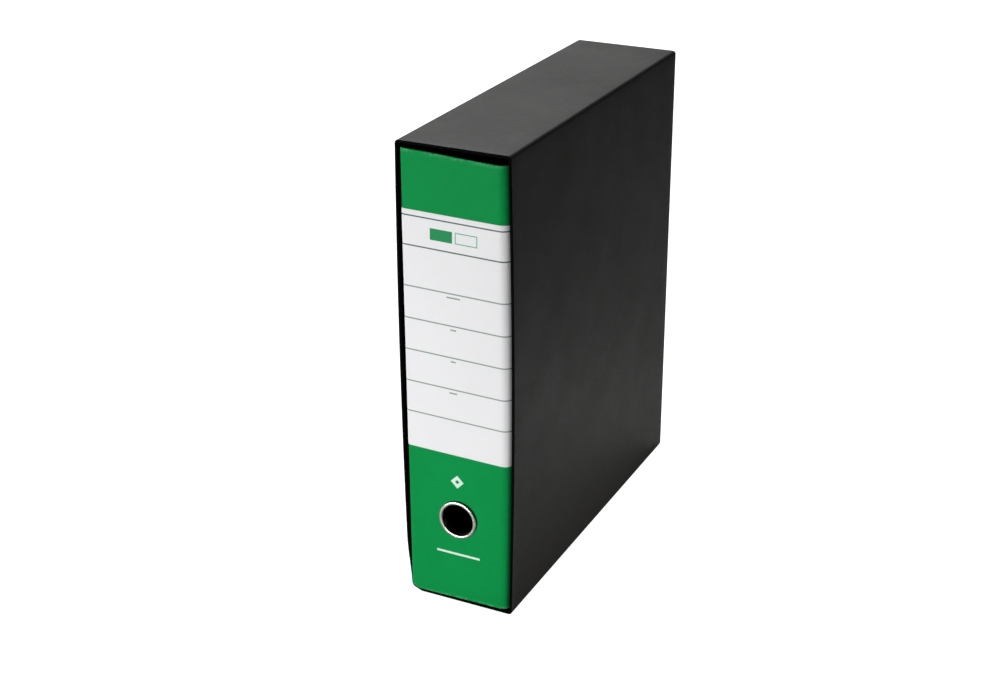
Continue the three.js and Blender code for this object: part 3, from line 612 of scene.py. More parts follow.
def case_shell():
    """The folded case as one closed skin.

    Round each ring runs a rectangle with round corners, and ring after ring it grows from the back's middle
    line, turns the back fold, runs to the mouth, turns in over the board and goes back inside to close
    again on the inner face of the back. The side walls then move out by the case's bow, the left wall leans
    out a little towards its top, and its lower corner at the mouth is pressed back by use."""
    side, flat, corner = np.linspace(-1, 1, 37), np.linspace(-1, 1, 11), np.linspace(0, np.pi / 2, 7)
    sides, corners, quarter = np.ones(len(side)), np.ones(len(corner)), np.pi / 2
    sx = np.concatenate([sides, corners, flat[::-1], -corners, -sides, -corners, flat, corners])
    flats = np.ones(len(flat))
    sz = np.concatenate([side, corners, flats, corners, side[::-1], -corners, -flats, -corners])
    turn = [0 * side, corner, 0 * flat + quarter, corner + quarter]
    turn += [0 * side + np.pi, corner + np.pi, 0 * flat - quarter, corner - quarter]
    turn = np.concatenate(turn)
    front, back = CASE_LOW[1], CASE_HIGH[1]
    fold = np.linspace(np.pi / 2, 0, 8)
    rim = np.linspace(0, np.pi / 2, 5)
    inset = [CASE_HALF, 30.0, 20.0, LAP + 0.5, LAP, 9.0, 5.0]
    depth = [back - LAP_STEP] * 4 + [back] * 3
    inset += list(BACK_FOLD * (1 - np.cos(fold)))
    depth += list(back - BACK_FOLD * (1 - np.sin(fold)))
    run = np.linspace(back - BACK_FOLD, front + MOUTH_FOLD, 30)[1:-1]
    inset += [0.0] * len(run) + list(MOUTH_FOLD * (1 - np.cos(rim)))
    depth += list(run) + list(front + MOUTH_FOLD * (1 - np.sin(rim)))
    inset += list(BOARD - MOUTH_FOLD * (1 - np.sin(rim)))
    depth += list(front + MOUTH_FOLD * (1 - np.cos(rim)))
    inside = np.linspace(front + MOUTH_FOLD, back - BOARD, 24)[1:]
    inset += [BOARD] * len(inside) + [5.0, 12.0, 24.0, CASE_HALF]
    depth += list(inside) + [back - BOARD] * 4
    e, y = np.array(inset)[:, None], np.array(depth)[:, None]
    w, h = CASE_HALF - e, CASE_HEIGHT / 2 - e
    r = np.minimum(np.clip(CASE_FOLD - e, 0.5, None), w)
    x = sx * (w - r) + r * np.cos(turn)
    z = CASE_HEIGHT / 2 + sz * (h - r) + r * np.sin(turn)
    left = smoothstep(-x, 0, CASE_HALF)
    x = x + x / CASE_HALF * CASE_BOW * case_bow(y, z)
    x = x - LEAN * left * smoothstep(z, LEAN_FROM, LEAN_TO) * forward(y)
    outer = smoothstep(-x, CASE_HALF - CRUSH_WIDTH, CASE_HALF)
    lower = smoothstep(CRUSH_HEIGHT - z, 0, CRUSH_HEIGHT)
    y = y + CRUSH * outer * lower * np.clip(1 - (y - front) / CRUSH_DEPTH, 0, 1)
    points = np.stack(np.broadcast_arrays(x, y, z), -1)
    return merged(points.reshape(-1, 3), quads(*points.shape[:2], False, True))


def case_wear(p):
    """Edges of the case, measured with the bow taken out."""
    p = p.copy()
    p[:, 0] -= p[:, 0] / CASE_HALF * CASE_BOW * case_bow(p[:, 1], p[:, 2])
    return rubbed_edges((-CASE_HALF, CASE_LOW[1], 0), (CASE_HALF, CASE_HIGH[1], CASE_HEIGHT), 1.6)(p)


def paint_case_shade(made):
    """Painted shade: a near-black matte finish goes on the faces inside the case and on the boards' ends at
    its mouth, where it stands in for the shade there.
    """
    x, y, z = places(made.data.polygons, "center").T
    x = np.abs(x) / (1 + CASE_BOW / CASE_HALF * case_bow(y, z))
    deep = np.min([CASE_HALF - x, CASE_HIGH[1] - y, z, CASE_HEIGHT - z], axis=0)
    inside = (deep > MOUTH_FOLD) | (y < CASE_LOW[1] + MOUTH_FOLD)
    made.data.materials.append(CASE_PAINTED_SHADE)
    made.data.polygons.foreach_set("material_index", inside.astype(np.int32))


CASE_NODES = [f"case_{n}" for n in ("left_wall", "right_wall", "bottom_panel", "top_panel", "back_wall")]
case = piece("slipcase_shell", case_shell(), "slipcase", CASE_BLACK, CASE_NODES, wear=case_wear, smooth=35)
# The faces inside the case and round its mouth get painted shade.
paint_case_shade(case)


# ---- Spine, label, covers ----
def cover_swell(x, y, z):
    """How far the front half of the cover stands out, in step with the case."""
    return COVER_BOW * case_bow(y, z) * np.clip(x, 0, None) / SPINE_HALF


def spine_trim(s, z):
    """How far the paper's upper end is cut down, more towards the front edge, and its lower end cut up."""
    top, bottom = smoothstep(z, SPINE_HIGH[2] - 20, SPINE_HIGH[2]), smoothstep(SPINE_LOW[2] + 20 - z, 0, 20)
    across = smoothstep(s, -SPINE_HALF, SPINE_HALF)
    corner = np.clip((-s - SPINE_HALF + 7) / 7, 0, 1) ** 2
    return 2.4 * top * across - bottom * (0.5 + 0.9 * across + 3.6 * corner)


def on_spine(s, z, depth):
    """The spine's section at a depth below its outer face: flat, then a quarter circle, then straight back.

    s runs along the outer face from the middle. The rear edge is folded tighter than the front one."""
    radius = np.where(s > 0, RIGHT_RADIUS, LEFT_RADIUS)
    half = SPINE_HALF - radius
    turn = np.clip((np.abs(s) - half) / radius, 0, np.pi / 2)
    straight = np.clip(np.abs(s) - half - radius * np.pi / 2, 0, None)
    r = radius - depth
    x = np.sign(s) * (np.minimum(np.abs(s), half) + r * np.sin(turn))
    y = SPINE_LOW[1] + radius - r * np.cos(turn) + straight
    x = x + cover_swell(x, y, z)
    return np.stack(np.broadcast_arrays(x, y, z - spine_trim(s, z)), -1)


def laid(depth):
    return lambda s, z: on_spine(s, z, depth)


def spine_stops(radius):
    """Where the flat face ends, eight parts of the round edge, and the end of the folded side."""
    flat, turn = SPINE_HALF - radius, radius * np.pi / 2
    return [*[flat + turn * k / 8 for k in range(9)], flat + turn + SPINE_DEPTH - radius]


SPINE_DEPTH = SPINE_HIGH[1] - SPINE_LOW[1]
LEFT_STOPS, RIGHT_STOPS = spine_stops(LEFT_RADIUS), spine_stops(RIGHT_RADIUS)
SPINE_STOPS = [*[-s for s in LEFT_STOPS[::-1]], *RIGHT_STOPS]
PAPER_HOLE = (0.8, RING_Z + 1.0, RING_FLANGE - 0.5, 21.0)  # punched a little off the ring's centre
LABEL_WRAP = 1.25  # how far the label follows each fold, as a share of its radius


def spine_wear_and_highlight(p):
    """Lighter paper along the upper and lower ends of the spine: rubbed paper, and along the upper end also a
    painted highlight on the board's edge.
    """
    top = SPINE_HIGH[2] - p[:, 2] - spine_trim(p[:, 0], SPINE_HIGH[2])
    bottom = p[:, 2] - SPINE_LOW[2] + spine_trim(p[:, 0], SPINE_LOW[2])
    return np.exp(-((np.minimum(top, bottom) / 1.1) ** 2))


spine_plan = plan(SPINE_STOPS, [SPINE_LOW[2], SPINE_HIGH[2]], 3.0, [PAPER_HOLE])
spine_shape = slab(*spine_plan, laid(0.0), laid(BOARD))
piece("spine_cover", spine_shape, "file", SPINE_GREEN, ["spine_board"], bevel=0.5, wear=spine_wear_and_highlight, smooth=50)


def label_wear(p):
    """Rubbed paper along the label's upper and lower edges."""
    z = p[:, 2] - label_shift(p[:, 0])
    return np.exp(-((np.minimum(z - LABEL_LOW[2], LABEL_HIGH[2] - z) / 0.8) ** 2))


def stuck(depth):
    return lambda s, z: on_spine(s, z + label_shift(s), depth)


label_left = -SPINE_HALF + LEFT_RADIUS * (1 - LABEL_WRAP)
label_right = SPINE_HALF - RIGHT_RADIUS * (1 - LABEL_WRAP)
label_stops = [s for s in SPINE_STOPS if label_left + 0.2 < s < label_right - 0.2]
label_plan = plan([label_left, *label_stops, label_right], [LABEL_LOW[2], LABEL_HIGH[2]], 3.0, radius=1.2)
label_shape = slab(*label_plan, stuck(-0.3), stuck(-0.02))
piece("spine_label_sheet", label_shape, "file", LABEL_WHITE, ["spine_label"], wear=label_wear, smooth=50)

RIVETS = [f"fixing_rivet_{k}" for k in (1, 2, 3, 4)]
RIVET_PLACES = [tuple(((box(n)[0] + box(n)[1]) / 2)[1:]) for n in RIVETS]
RIVET_HOLE = 2.2


def cover_board(side, name, node, rivets):
    """A cover board: a flat plan with round fore-edge corners, bowed on the front side."""
    low, high = box(node)
    holes = [(*place, RIVET_HOLE, 5.0) for place in rivets]
    flat = plan([low[1], high[1]], [low[2], high[2]], 8.0, holes, 3.5, (0, 1, 1, 0))

    def face(x):
        return lambda y, z: np.stack([side * x + cover_swell(side * x, y, z), y, z], -1)

    shape = slab(*flat, face(SPINE_HALF), face(SPINE_HALF - BOARD))
    piece(name, shape, "file", COVER_GREEN, [node], bevel=0.5, wear=rubbed_edges(low, high, 1.4), smooth=50)


cover_board(1, "front_cover", "front_cover_board", [])
cover_board(-1, "rear_cover", "rear_cover_board", RIVET_PLACES)


def crease(side, name):
    """The wrap paper where it dips between a folded side of the spine and its cover board."""
    start, end = SPINE_HIGH[1], COVER_LOW[1]
    z = line(SPINE_LOW[2] + 0.3, SPINE_HIGH[2] - 0.3, step=6.0)
    t = np.linspace(0, 1, 9)
    y, dip = start + (end - start) * t, 0.15 + 0.45 * np.sin(np.pi * t)
    loop_y, loop_x = np.concatenate([y, y[::-1]]), SPINE_HALF - np.concatenate([dip, dip[::-1] + 0.3])
    zz, yy = np.meshgrid(z, loop_y, indexing="ij")
    xx = side * np.broadcast_to(loop_x, yy.shape)
    points = np.stack([xx + cover_swell(xx, yy, zz), yy, zz], -1).reshape(-1, 3)
    n = len(loop_y)
    last = (len(z) - 1) * n
    ends = [tuple(range(n))[::-1], tuple(range(last, last + n))]
    shape = points, [*map(tuple, quads(len(z), n, False, True).tolist()), *ends]
    piece(name, shape, "file", COVER_GREEN, smooth=35)


crease(1, "front_crease_paper")
crease(-1, "rear_crease_paper")

LINED = [f"{k}_lining_sheet" for k in ("spine", "front", "rear")]
LINED += ["front_hinge_tape", "rear_hinge_tape"]
for node in LINED:
    frame["nodes"][node].data.materials.clear()
    frame["nodes"][node].data.materials.append(LINING)


# ---- Finger ring ----
def thick(path, thickness):
    """A closed profile that follows a path at half the thickness on each side, its ends round."""
    path = np.array(path, float)
    along = unit(np.gradient(path, axis=0))
    out = np.stack([along[:, 1], -along[:, 0]], -1) * thickness / 2
    turn = np.linspace(0, np.pi, 7)[1:-1, None]
    tail = path[-1] + out[-1] * np.cos(turn) + along[-1] * thickness / 2 * np.sin(turn)
    head = path[0] - out[0] * np.cos(turn) - along[0] * thickness / 2 * np.sin(turn)
    return np.concatenate([path + out, tail, (path - out)[::-1], head])


def facing_out(shape, y):
    """A turned shape laid along -Y in the middle of the ring, with its height measured from the depth y."""
    points, faces = shape
    return np.stack([points[:, 0], y - points[:, 2], RING_Z + points[:, 1]], -1), faces


RING_BORE = 12.4
RING_WALL = 0.6
CURL = 0.8
dome_turn = np.linspace(0.05, np.pi, 15)
dome_middle, dome_half = (RING_FLANGE + RING_BORE) / 2, (RING_FLANGE - RING_BORE) / 2 - RING_WALL / 2
dome = np.stack([dome_middle + dome_half * np.cos(dome_turn), 0.3 + 0.55 * np.sin(dome_turn)], -1)
barrel_middle, barrel_end = RING_BORE + RING_WALL / 2, -(RING_HIGH[1] - SPINE_LOW[1]) + 1.0
barrel = np.stack([np.full(8, barrel_middle), np.linspace(0, barrel_end, 8)], -1)
curl_turn = np.linspace(np.pi, 2.2 * np.pi, 12)[1:]
curl = np.stack([barrel_middle + CURL + CURL * np.cos(curl_turn), barrel_end + CURL * np.sin(curl_turn)], -1)
ring_shape = lathe(thick(np.concatenate([dome, barrel, curl]), RING_WALL), 96, closed=True)
piece("finger_ring", facing_out(ring_shape, SPINE_LOW[1]), "file", NICKEL, ["finger_ring_eyelet"], smooth=60)

washer_low, washer_high = box("finger_ring_washer")
washer_inner, washer_outer = RING_BORE + RING_WALL + 0.3, (washer_high[2] - washer_low[2]) / 2
washer_path = [(washer_inner + 0.3, 0.0), (washer_inner + 1.2, 0.25), (washer_outer - 0.3, 0.0)]
washer_at = (washer_low[1] + washer_high[1]) / 2
washer_shape = facing_out(lathe(thick(washer_path, 0.45), 72, closed=True), washer_at)
piece("ring_washer", washer_shape, "file", NICKEL, ["finger_ring_washer"], smooth=60)


# ---- Mechanism: u runs from the spine towards the fore-edge, v off the cover, w down the file ----
SEAT = np.array([box("base_plate")[0][0], SPINE_LOW[1] + BOARD, MIDDLE])


def seated(points):
    """Points (u, v, w) of the mechanism in the row frame."""
    u, v, w = np.moveaxis(np.asarray(points, float), -1, 0)
    return np.stack([SEAT[0] + v, SEAT[1] + u, SEAT[2] - w], -1)


def spot(point):
    """The (u, v) of a point of the row frame."""
    return point[1] - SEAT[1], point[0] - SEAT[0]


def middle(node):
    low, high = box(node)
    return (low + high) / 2


ARCH_U, SHAFT_V = spot(PIVOTS["arch_open"])
LEVER_U, LEVER_V = spot(PIVOTS["lever_lift"])
ROLLER_U, ROLLER_V = spot(middle("roller"))
POST_U, POST_W = spot(middle("upper_post"))[0], middle("upper_post")[2] - MIDDLE
PLATE_U = [box("base_plate")[k][1] - SEAT[1] for k in (0, 1)]
PLATE_W = box("base_plate")[1][2] - MIDDLE
PLATE = 1.2  # thickness, and that of the lever's strip
WIRE = 2.0  # radius
CRANK_REACH, CRANK_HALF = 17.0, 9.0
EAR_W, LUG_W, CHEEK_W = 7.0, 24.0, 5.2  # from the middle
PIN_EYE, EYE_RINGS, EYE_POINTS = 1.7, 4, 72
GRIP_HALF, HANDLE_HALF, GRIP_HOLE = 10, 5.8, 5.0
LOCK_HALF, OVAL = 4.6, 0.58
RIVET_UW = [(y - SEAT[1], MIDDLE - z) for y, z in RIVET_PLACES]
SPRING_RIVET_U = spot(middle("spring_rivet"))[0]


def seat_shape(shape):
    return seated(shape[0]), shape[1]


def sheet_between(flat, faces, centre, thickness):
    """A sheet whose two skins lie half its thickness above and below a middle surface centre(a, b)."""

    def skin(side):
        def at(a, b):
            h = 0.02
            along = centre(a + h, b) - centre(a - h, b)
            across = centre(a, b + h) - centre(a, b - h)
            return centre(a, b) + side * thickness / 2 * unit(np.cross(along, across))

        return at

    return slab(flat, faces, skin(1), skin(-1))


def eyed(outline, centre, radius):
    """Flat plate with a round eye: rings pass evenly from the eye out to an outline round it."""
    outline = np.array([*outline, outline[0]], float)
    length = lengths(outline)
    stops = np.union1d(length, np.linspace(0, length[-1], EYE_POINTS, endpoint=False))[:-1]
    rim = np.stack([np.interp(stops, length, outline[:, k]) for k in (0, 1)], -1)
    turn = np.arctan2(rim[:, 1] - centre[1], rim[:, 0] - centre[0])
    circle = np.array(centre) + radius * np.stack([np.cos(turn), np.sin(turn)], -1)
    share = np.linspace(0, 1, EYE_RINGS + 1)[:, None, None]
    points = (rim * (1 - share) + circle * share).reshape(-1, 2)
    return points, [tuple(f) for f in quads(EYE_RINGS + 1, len(rim), close_columns=True).tolist()]


def arc(u, v, radius, start, end, count=14):
    turn = np.radians(np.linspace(start, end, count))
    return [(u + radius * math.cos(t), v + radius * math.sin(t)) for t in turn]


def layer_at(w, thickness, to_uv=lambda a, b: (a, b)):
    """Front and back skins of a flat plate that stands square to w."""

    def skin(at):
        def put(a, b):
            a, b = to_uv(a, b)
            return np.stack([a, b, np.full(len(a), at)], -1)

        return put

    return skin(w + thickness / 2), skin(w - thickness / 2)


def plate_rise(u, w):
    """Pressing of the plate: a bead that follows its border, and two long ribs beside the lever."""
    from_side = np.minimum(np.minimum(u - PLATE_U[0], PLATE_U[1] - u), PLATE_W - np.abs(w))
    bead = 0.5 * np.exp(-(((from_side - 2.4) / 0.85) ** 2))
    rib = smoothstep(1 - ((u - 61.0) / 3.4) ** 2 - ((np.abs(w) - 23.0) / 10.0) ** 4, 0.0, 0.7)
    return bead + 0.9 * rib


def base_plate():
    """Pressed plate with rivet and post holes, two ears for the lever's pin and two lugs over the wire."""
    holes = [(u, w, 2.2, 4.5) for u, w in RIVET_UW]
    holes += [(POST_U, s * POST_W, 2.1, 3.5) for s in (1, -1)] + [(SPRING_RIVET_U, 0, 1.9, 3.5)]
    flat, faces = plan(PLATE_U, [-PLATE_W, PLATE_W], 1.0, holes, 6.0)

    def skin(level):
        return lambda u, w: seated(np.stack([u, level + plate_rise(u, w), w], -1))

    parts = [slab(flat, faces, skin(PLATE), skin(0.0))]
    foot = ARCH_U + CRANK_REACH + WIRE + 1.2
    ear = [(foot, 0.6), (LEVER_U + 8.4, 0.6), (LEVER_U + 8.4, 2.4), (LEVER_U + 5.2, 9.0)]
    ear += arc(LEVER_U, LEVER_V, 4.2, -22, 170) + [(foot, 9.3)]
    t = np.linspace(0, 1, 33)
    turn = np.pi * np.clip((t - 0.25) / 0.5, 0, 1)
    drop = (SHAFT_V - 0.6) * (np.clip(1 - t / 0.25, 0, 1) + np.clip((t - 0.75) / 0.25, 0, 1))
    r = np.linspace(WIRE + 0.35, WIRE + 1.55, 3)[:, None]
    lug = np.stack([ARCH_U + r * np.cos(turn), SHAFT_V + r * np.sin(turn) - drop], -1).reshape(-1, 2)
    lug_faces = [tuple(f) for f in quads(3, len(t)).tolist()]
    ear, ear_faces = eyed(ear, (LEVER_U, LEVER_V), PIN_EYE)
    for side in (1, -1):
        parts.append(seat_shape(slab(ear, ear_faces, *layer_at(side * EAR_W, PLATE))))
        parts.append(seat_shape(slab(lug, lug_faces, *layer_at(side * LUG_W, 7.0))))
    return joined(*parts)


plate_low, plate_high = box("base_plate")
plate_wear = rubbed_edges(plate_low, (plate_low[0] + PLATE, *plate_high[1:]), 1.0)
piece("mechanism_plate", base_plate(), "file", ZINC, ["base_plate"], bevel=0.18, wear=plate_wear, segments=2)


def turned(name, profile, sides, place, body, finish, node, lying=False, closed=False):
    """A turned piece of the mechanism, its axis through (u, v, w), standing along v or lying along w."""
    points, faces = lathe(profile, sides, closed)
    x, y, h = points.T
    spread = np.stack([x, y, h] if lying else [x, h, y], -1)
    piece(name, (seated(spread + np.array(place)), faces), body, finish, [node])


def post_profile():
    """Spigot, collar with a filleted neck, shank and a rounded tip."""
    top = box("upper_post")[1][0] - SEAT[0]
    tip = np.linspace(0, np.pi / 2, 8)
    foot = [(0, 0.1), (1.8, 0.1), (1.8, 1.5), (3.2, 1.5), (3.4, 1.7), (3.4, 2.3), (3.2, 2.5)]
    neck = [(2.5, 2.5), (2.22, 2.62), (2.1, 2.9)]
    shank = [(2.1, v) for v in np.linspace(6, top - 2.4, 8)]
    end = [(1.05 + 1.05 * math.cos(t) - 0.35 * math.sin(t), top - 2.0 + 2.0 * math.sin(t)) for t in tip]
    return [*foot, *neck, *shank, *end, (0, top)]


for name, side in (("upper_post", -1), ("lower_post", 1)):
    turned(name + "_turned", post_profile(), 40, (POST_U, 0, side * POST_W), "file", DRAWN_NICKEL, name)


def arch_path():
    """Half of the wire from over a post to the crank's end, and its mirror image."""
    top, end = ARCH_TOP, ARCH_TOP - 18.0
    half = [
        (POST_U, end, POST_W), (POST_U, top, POST_W), (ARCH_U, top, POST_W),
        (ARCH_U, SHAFT_V, POST_W), (ARCH_U, SHAFT_V, CRANK_HALF), (ARCH_U + CRANK_REACH, SHAFT_V, CRANK_HALF),
    ]
    bends = [16.0, 16.0, 5.0, 3.5, 3.5]
    return bent_path([*half, *[(u, v, -w) for u, v, w in half[::-1]]], bends + bends[::-1], 20, 2.0)


def round_ends(path, radius, reach):
    """Radius along a path that closes to a point over reach at each end, as a quarter ellipse."""
    along = lengths(path)
    near = np.minimum(along, along[-1] - along)
    return radius * np.sqrt(np.clip(1 - (1 - np.clip(near / reach, 0, 1)) ** 2, 1e-6, 1))


ARCH_TOP = box("arch_wire")[1][0] - SEAT[0] - WIRE
WIRE_TIP, WIRE_SIDES = 0.8, 28
wire_path = arch_path()
tip = np.array([0.0, 0.02, 0.1, 0.25, 0.5, 0.8])[:, None] * WIRE_TIP
head = wire_path[0] + unit(wire_path[1] - wire_path[0]) * tip
wire_path = np.concatenate([head, wire_path[1:-1], (head * (1, 1, -1))[::-1]])
wire_points, wire_faces = tube(wire_path, round_ends(wire_path, WIRE, WIRE_TIP), WIRE_SIDES)
last = len(wire_points) - WIRE_SIDES
wire_ends = [tuple(range(WIRE_SIDES))[::-1], tuple(range(last, len(wire_points)))]
wire_shape = seated(wire_points), [*map(tuple, wire_faces.tolist()), *wire_ends]
piece("arch_wire_bent", wire_shape, "arches", DRAWN_NICKEL, ["arch_wire"], smooth=50)


# ---- Lever ----
LEVER_TURN = math.radians(155)
LEVER_LONG = 53.606
WEB = -4.8  # outer face of the web, from the pivot
ROLLER_ARM, ROLLER_TURN = 9, math.radians(-285)


def from_lever(x, y):
    """A point of the lever, x along the handle and y towards the plate, as (u, v)."""
    c, s = math.cos(LEVER_TURN), math.sin(LEVER_TURN)
    return LEVER_U + x * c - y * s, LEVER_V + x * s + y * c


def lever_arm():
    """Folded strip: a web that widens to a dished grip with a flanged finger hole, between two cheeks."""
    neck, hole = LEVER_LONG / 2, LEVER_LONG - 10.0
    holes = [(hole, 0, GRIP_HOLE, 7.5)]
    flat, faces = plan([-4.5, LEVER_LONG], [-GRIP_HALF, GRIP_HALF], 0.9, holes, 9.9, (0, 1, 1, 0))

    def centre(x, t):
        grip = smoothstep(x, neck, neck + 12)
        arch = 1.6 * np.sin(np.pi * np.clip((x - 15) / 38, 0, 1)) ** 2 - 0.6 * smoothstep(x, 44, LEVER_LONG)
        out = np.clip(np.hypot(np.clip(x - hole, 0, None), t) / GRIP_HALF, 0, 1)
        rolled = grip * (1.7 * out**7 - 0.5 * (1 - (t / GRIP_HALF) ** 2))
        flange = 0.9 * np.exp(-np.clip(np.hypot(x - hole, t) - GRIP_HOLE, 0, None) / 0.7)
        folded = (1 - grip) * 0.5 * (np.abs(t) / GRIP_HALF) ** 14
        u, v = from_lever(x, WEB + PLATE / 2 + arch + rolled + flange + folded)
        return np.stack([u, v, t / GRIP_HALF * (HANDLE_HALF + (GRIP_HALF - HANDLE_HALF) * grip)], -1)

    parts = [sheet_between(flat, faces, centre, PLATE)]
    rx, ry = ROLLER_ARM * math.cos(ROLLER_TURN), ROLLER_ARM * math.sin(ROLLER_TURN)
    start, bend, stop = np.array([(neck + 5, -3.4), ((neck + rx) / 2, 0.0), (rx + 3.3, ry - 1)])
    t = np.linspace(0, 1, 14)[:, None]
    curve = start * (1 - t) ** 2 + 2 * bend * t * (1 - t) + stop * t * t
    cheek = [(-4.5, WEB + 0.5), (neck + 5, WEB + 0.5), *map(tuple, curve), *arc(rx, ry, 3.3, 0, 180)]
    cheek += arc(-1.0, 0.9, 3.5, 150, 180, 5)
    for side in (1, -1):
        parts.append(slab(*eyed(cheek, (0, 0), PIN_EYE), *layer_at(side * CHEEK_W, PLATE, from_lever)))
    return seat_shape(joined(*parts))


def lever_wear(p):
    """Rubbed where a finger pulls: round the grip's tip."""
    tip = seated(np.array([[*from_lever(LEVER_LONG - 8, WEB), 0.0]]))[0]
    return np.exp(-((np.linalg.norm(p - tip, axis=1) / 9.0) ** 4)) * 0.5


lever_shape = lever_arm()
piece("lever_pressing", lever_shape, "lever", NICKEL, ["lever_arm"], bevel=0.2, wear=lever_wear, **PRESSED)


def headed(radius, half, head, head_radius):
    """A pin with a low domed head at each end."""
    dome = [(head_radius * math.cos(t), half + head * math.sin(t)) for t in np.linspace(0, np.pi / 2, 8)]
    upper = [(radius, half), *dome[:-1], (0, half + head)]
    return [(r, -h) for r, h in upper[::-1]] + upper


pivot, roller = (LEVER_U, LEVER_V, 0), (ROLLER_U, ROLLER_V, 0)
turned("lever_pivot_riveted", headed(1.5, 7.9, 1.0, 2.85), 40, pivot, "file", ZINC, "lever_pivot_pin", True)
turned("roller_pin_riveted", headed(1.2, 6.0, 0.6, 1.92), 36, roller, "lever", ZINC, "roller_pin", True)
roller_profile = [(1.4, -4.0), (1.6, -4.2), (3.6, -4.2), (3.9, -4.1), (4.0, -3.8)]
roller_profile += [(4.0 - 0.08 * (h / 3.8) ** 2, h) for h in np.linspace(-3.2, 3.2, 7)]
roller_profile += [(r, -h) for r, h in roller_profile[4::-1]]
turned("roller_turned", roller_profile, 48, roller, "roller", SPRING, "roller", True, closed=True)


# ---- Leaf spring and rivets ----
leaf_u = [SPRING_RIVET_U - 4.0, ARCH_U + 18.0]


def leaf(level):
    """The leaf narrows towards its tip, which turns down a little under the crank."""

    def put(u, w):
        narrow = 1 - 0.25 * smoothstep(u, leaf_u[0] + 12, leaf_u[1])
        lip = -0.25 * smoothstep(u, leaf_u[1] - 2.5, leaf_u[1])
        return seated(np.stack([u, level + lip, w * narrow], -1))

    return put


leaf_plan = plan(leaf_u, [-5, 5], 1.0, [(SPRING_RIVET_U, 0, 1.9, 3.0)], 1.6)
leaf_shape = slab(*leaf_plan, leaf(2.0), leaf(1.5))
spring = piece("leaf_spring", leaf_shape, None, SPRING, ["arch_spring"], smooth=45)
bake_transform(spring)


def rivet_profile(bottom, head, radius, head_radius, tail=None):
    """A shank with a domed head, and a flat round tail when it has one."""
    rise = np.linspace(0, np.pi / 2, 9)
    dome = [(head_radius * math.cos(t), head + 0.25 + 0.85 * math.sin(t)) for t in rise]
    start = [(0, bottom), (radius, bottom)]
    if tail:
        end = bottom - tail
        start = [(0, end), (head_radius - 0.5, end), (head_radius - 0.12, end + 0.15)]
        start += [(head_radius, end + 0.45), (head_radius - 0.1, bottom), (radius, bottom)]
    rim = [(radius, head), (head_radius - 0.15, head), (head_radius, head + 0.15)]
    return [*start, *rim, *dome[:-1], (0, head + 1.1)]


leaf_rivet, leaf_place = rivet_profile(0.05, 2.3, 1.6, 2.9), (SPRING_RIVET_U, 0, 0)
turned("spring_rivet_domed", leaf_rivet, 36, leaf_place, "file", ZINC, "spring_rivet")
cover_rivet = rivet_profile(COVER_LOW[0] - SEAT[0] - 0.3, 1.5, 1.9, 3.6, 0.8)
for name, (u, w) in zip(RIVETS, RIVET_UW):
    turned(name + "_domed", cover_rivet, 40, (u, 0, w), "file", NICKEL, name)


# ---- Compressor bar and its locks ----
def along(path):
    """A path's points and sideways directions by length along it, from its middle."""
    path = np.array(path, float)
    length = lengths(path)
    way = unit(np.gradient(path, length, axis=0))
    length -= length[-1] / 2

    def at(s, depth):
        here = [np.interp(s, length, path[:, k]) for k in (0, 1)]
        ahead = [np.interp(s, length, way[:, k]) for k in (0, 1)]
        return here[0] - ahead[1] * depth, here[1] + ahead[0] * depth

    return at, length[-1]


BAR_LOW, BAR_HIGH = box("compressor_bar")
BAR_SEAT, BAR_HALF = BAR_LOW[0] - SEAT[0], (BAR_HIGH[2] - BAR_LOW[2]) / 2
right = [*arc(4.7, 1.3, 0.8, -90, 0, 7), *arc(4.9, 3.5, 0.6, 0, 90, 7), (4.3, 4.1)]
channel, channel_half = along([*[(-a, b) for a, b in right[::-1]], *right])
post_holes = [(0, side * POST_W, 2.6, 4.0) for side in (1, -1)]
bar_plan = plan([-channel_half, channel_half], [-BAR_HALF, BAR_HALF], 0.9, post_holes)


def bar_skin(depth):
    """The folded channel at a depth: its ends are cut round, so the web is longest in the middle."""

    def put(s, w):
        a, b = channel(s, depth)
        end = smoothstep(np.abs(w), BAR_HALF - 8, BAR_HALF)
        w = w - np.sign(w) * end * 2.2 * (np.abs(s) / channel_half) ** 2
        return seated(np.stack([POST_U + a, BAR_SEAT + b, w], -1))

    return put


bar_shape, bar_wear = slab(*bar_plan, bar_skin(0.48), bar_skin(-0.48)), rubbed_edges(BAR_LOW, BAR_HIGH, 0.8)
bar_look = {"bevel": 0.12, "wear": bar_wear, **PRESSED}
piece("compressor_channel", bar_shape, "compressor", NICKEL, ["compressor_bar"], **bar_look)


def lock_shape(side):
    """A bent strip: flat along the bar with an oval slot, then up into a narrower tab with a round top."""
    flat_start, flat_end, tab_top = POST_W - 10.0, POST_W + 15.0, 11.0
    turns = np.linspace(0, np.pi / 2, 8)
    corner = [(flat_end - 1.3 + 0.8 * math.sin(t), 0.5 + 0.8 * (1 - math.cos(t))) for t in turns]
    strip, half = along([(flat_start, 0.5), *corner, (flat_end - 0.5, tab_top)])
    slot = POST_W + 1.5 - flat_start - half
    flat, faces = plan([-half, half], [-LOCK_HALF, LOCK_HALF], 0.7, [(slot, 0, 2.55, 4.2)], 1.2)
    tab_from = corner[0][0] - flat_start - half

    def skin(depth):
        def put(s, t):
            stretch = 1 + OVAL * (1 - smoothstep(np.abs(s - slot), 4.2, 10.0))
            s = slot + (s - slot) * stretch
            a, b = strip(s, depth)
            narrow = 1 - 0.35 * smoothstep(s, tab_from - 3, tab_from + 1)
            return seated(np.stack([POST_U + t * narrow, BAR_SEAT + 1.3 + b, side * a], -1))

        return put

    return slab(flat, faces, skin(0.48), skin(-0.48))


for place, side in (("upper", -1), ("lower", 1)):
    node = f"{place}_compressor_lock"
    piece(node + "_strip", lock_shape(side), f"{place}_lock", SPRING, [node], bevel=0.12, **PRESSED)


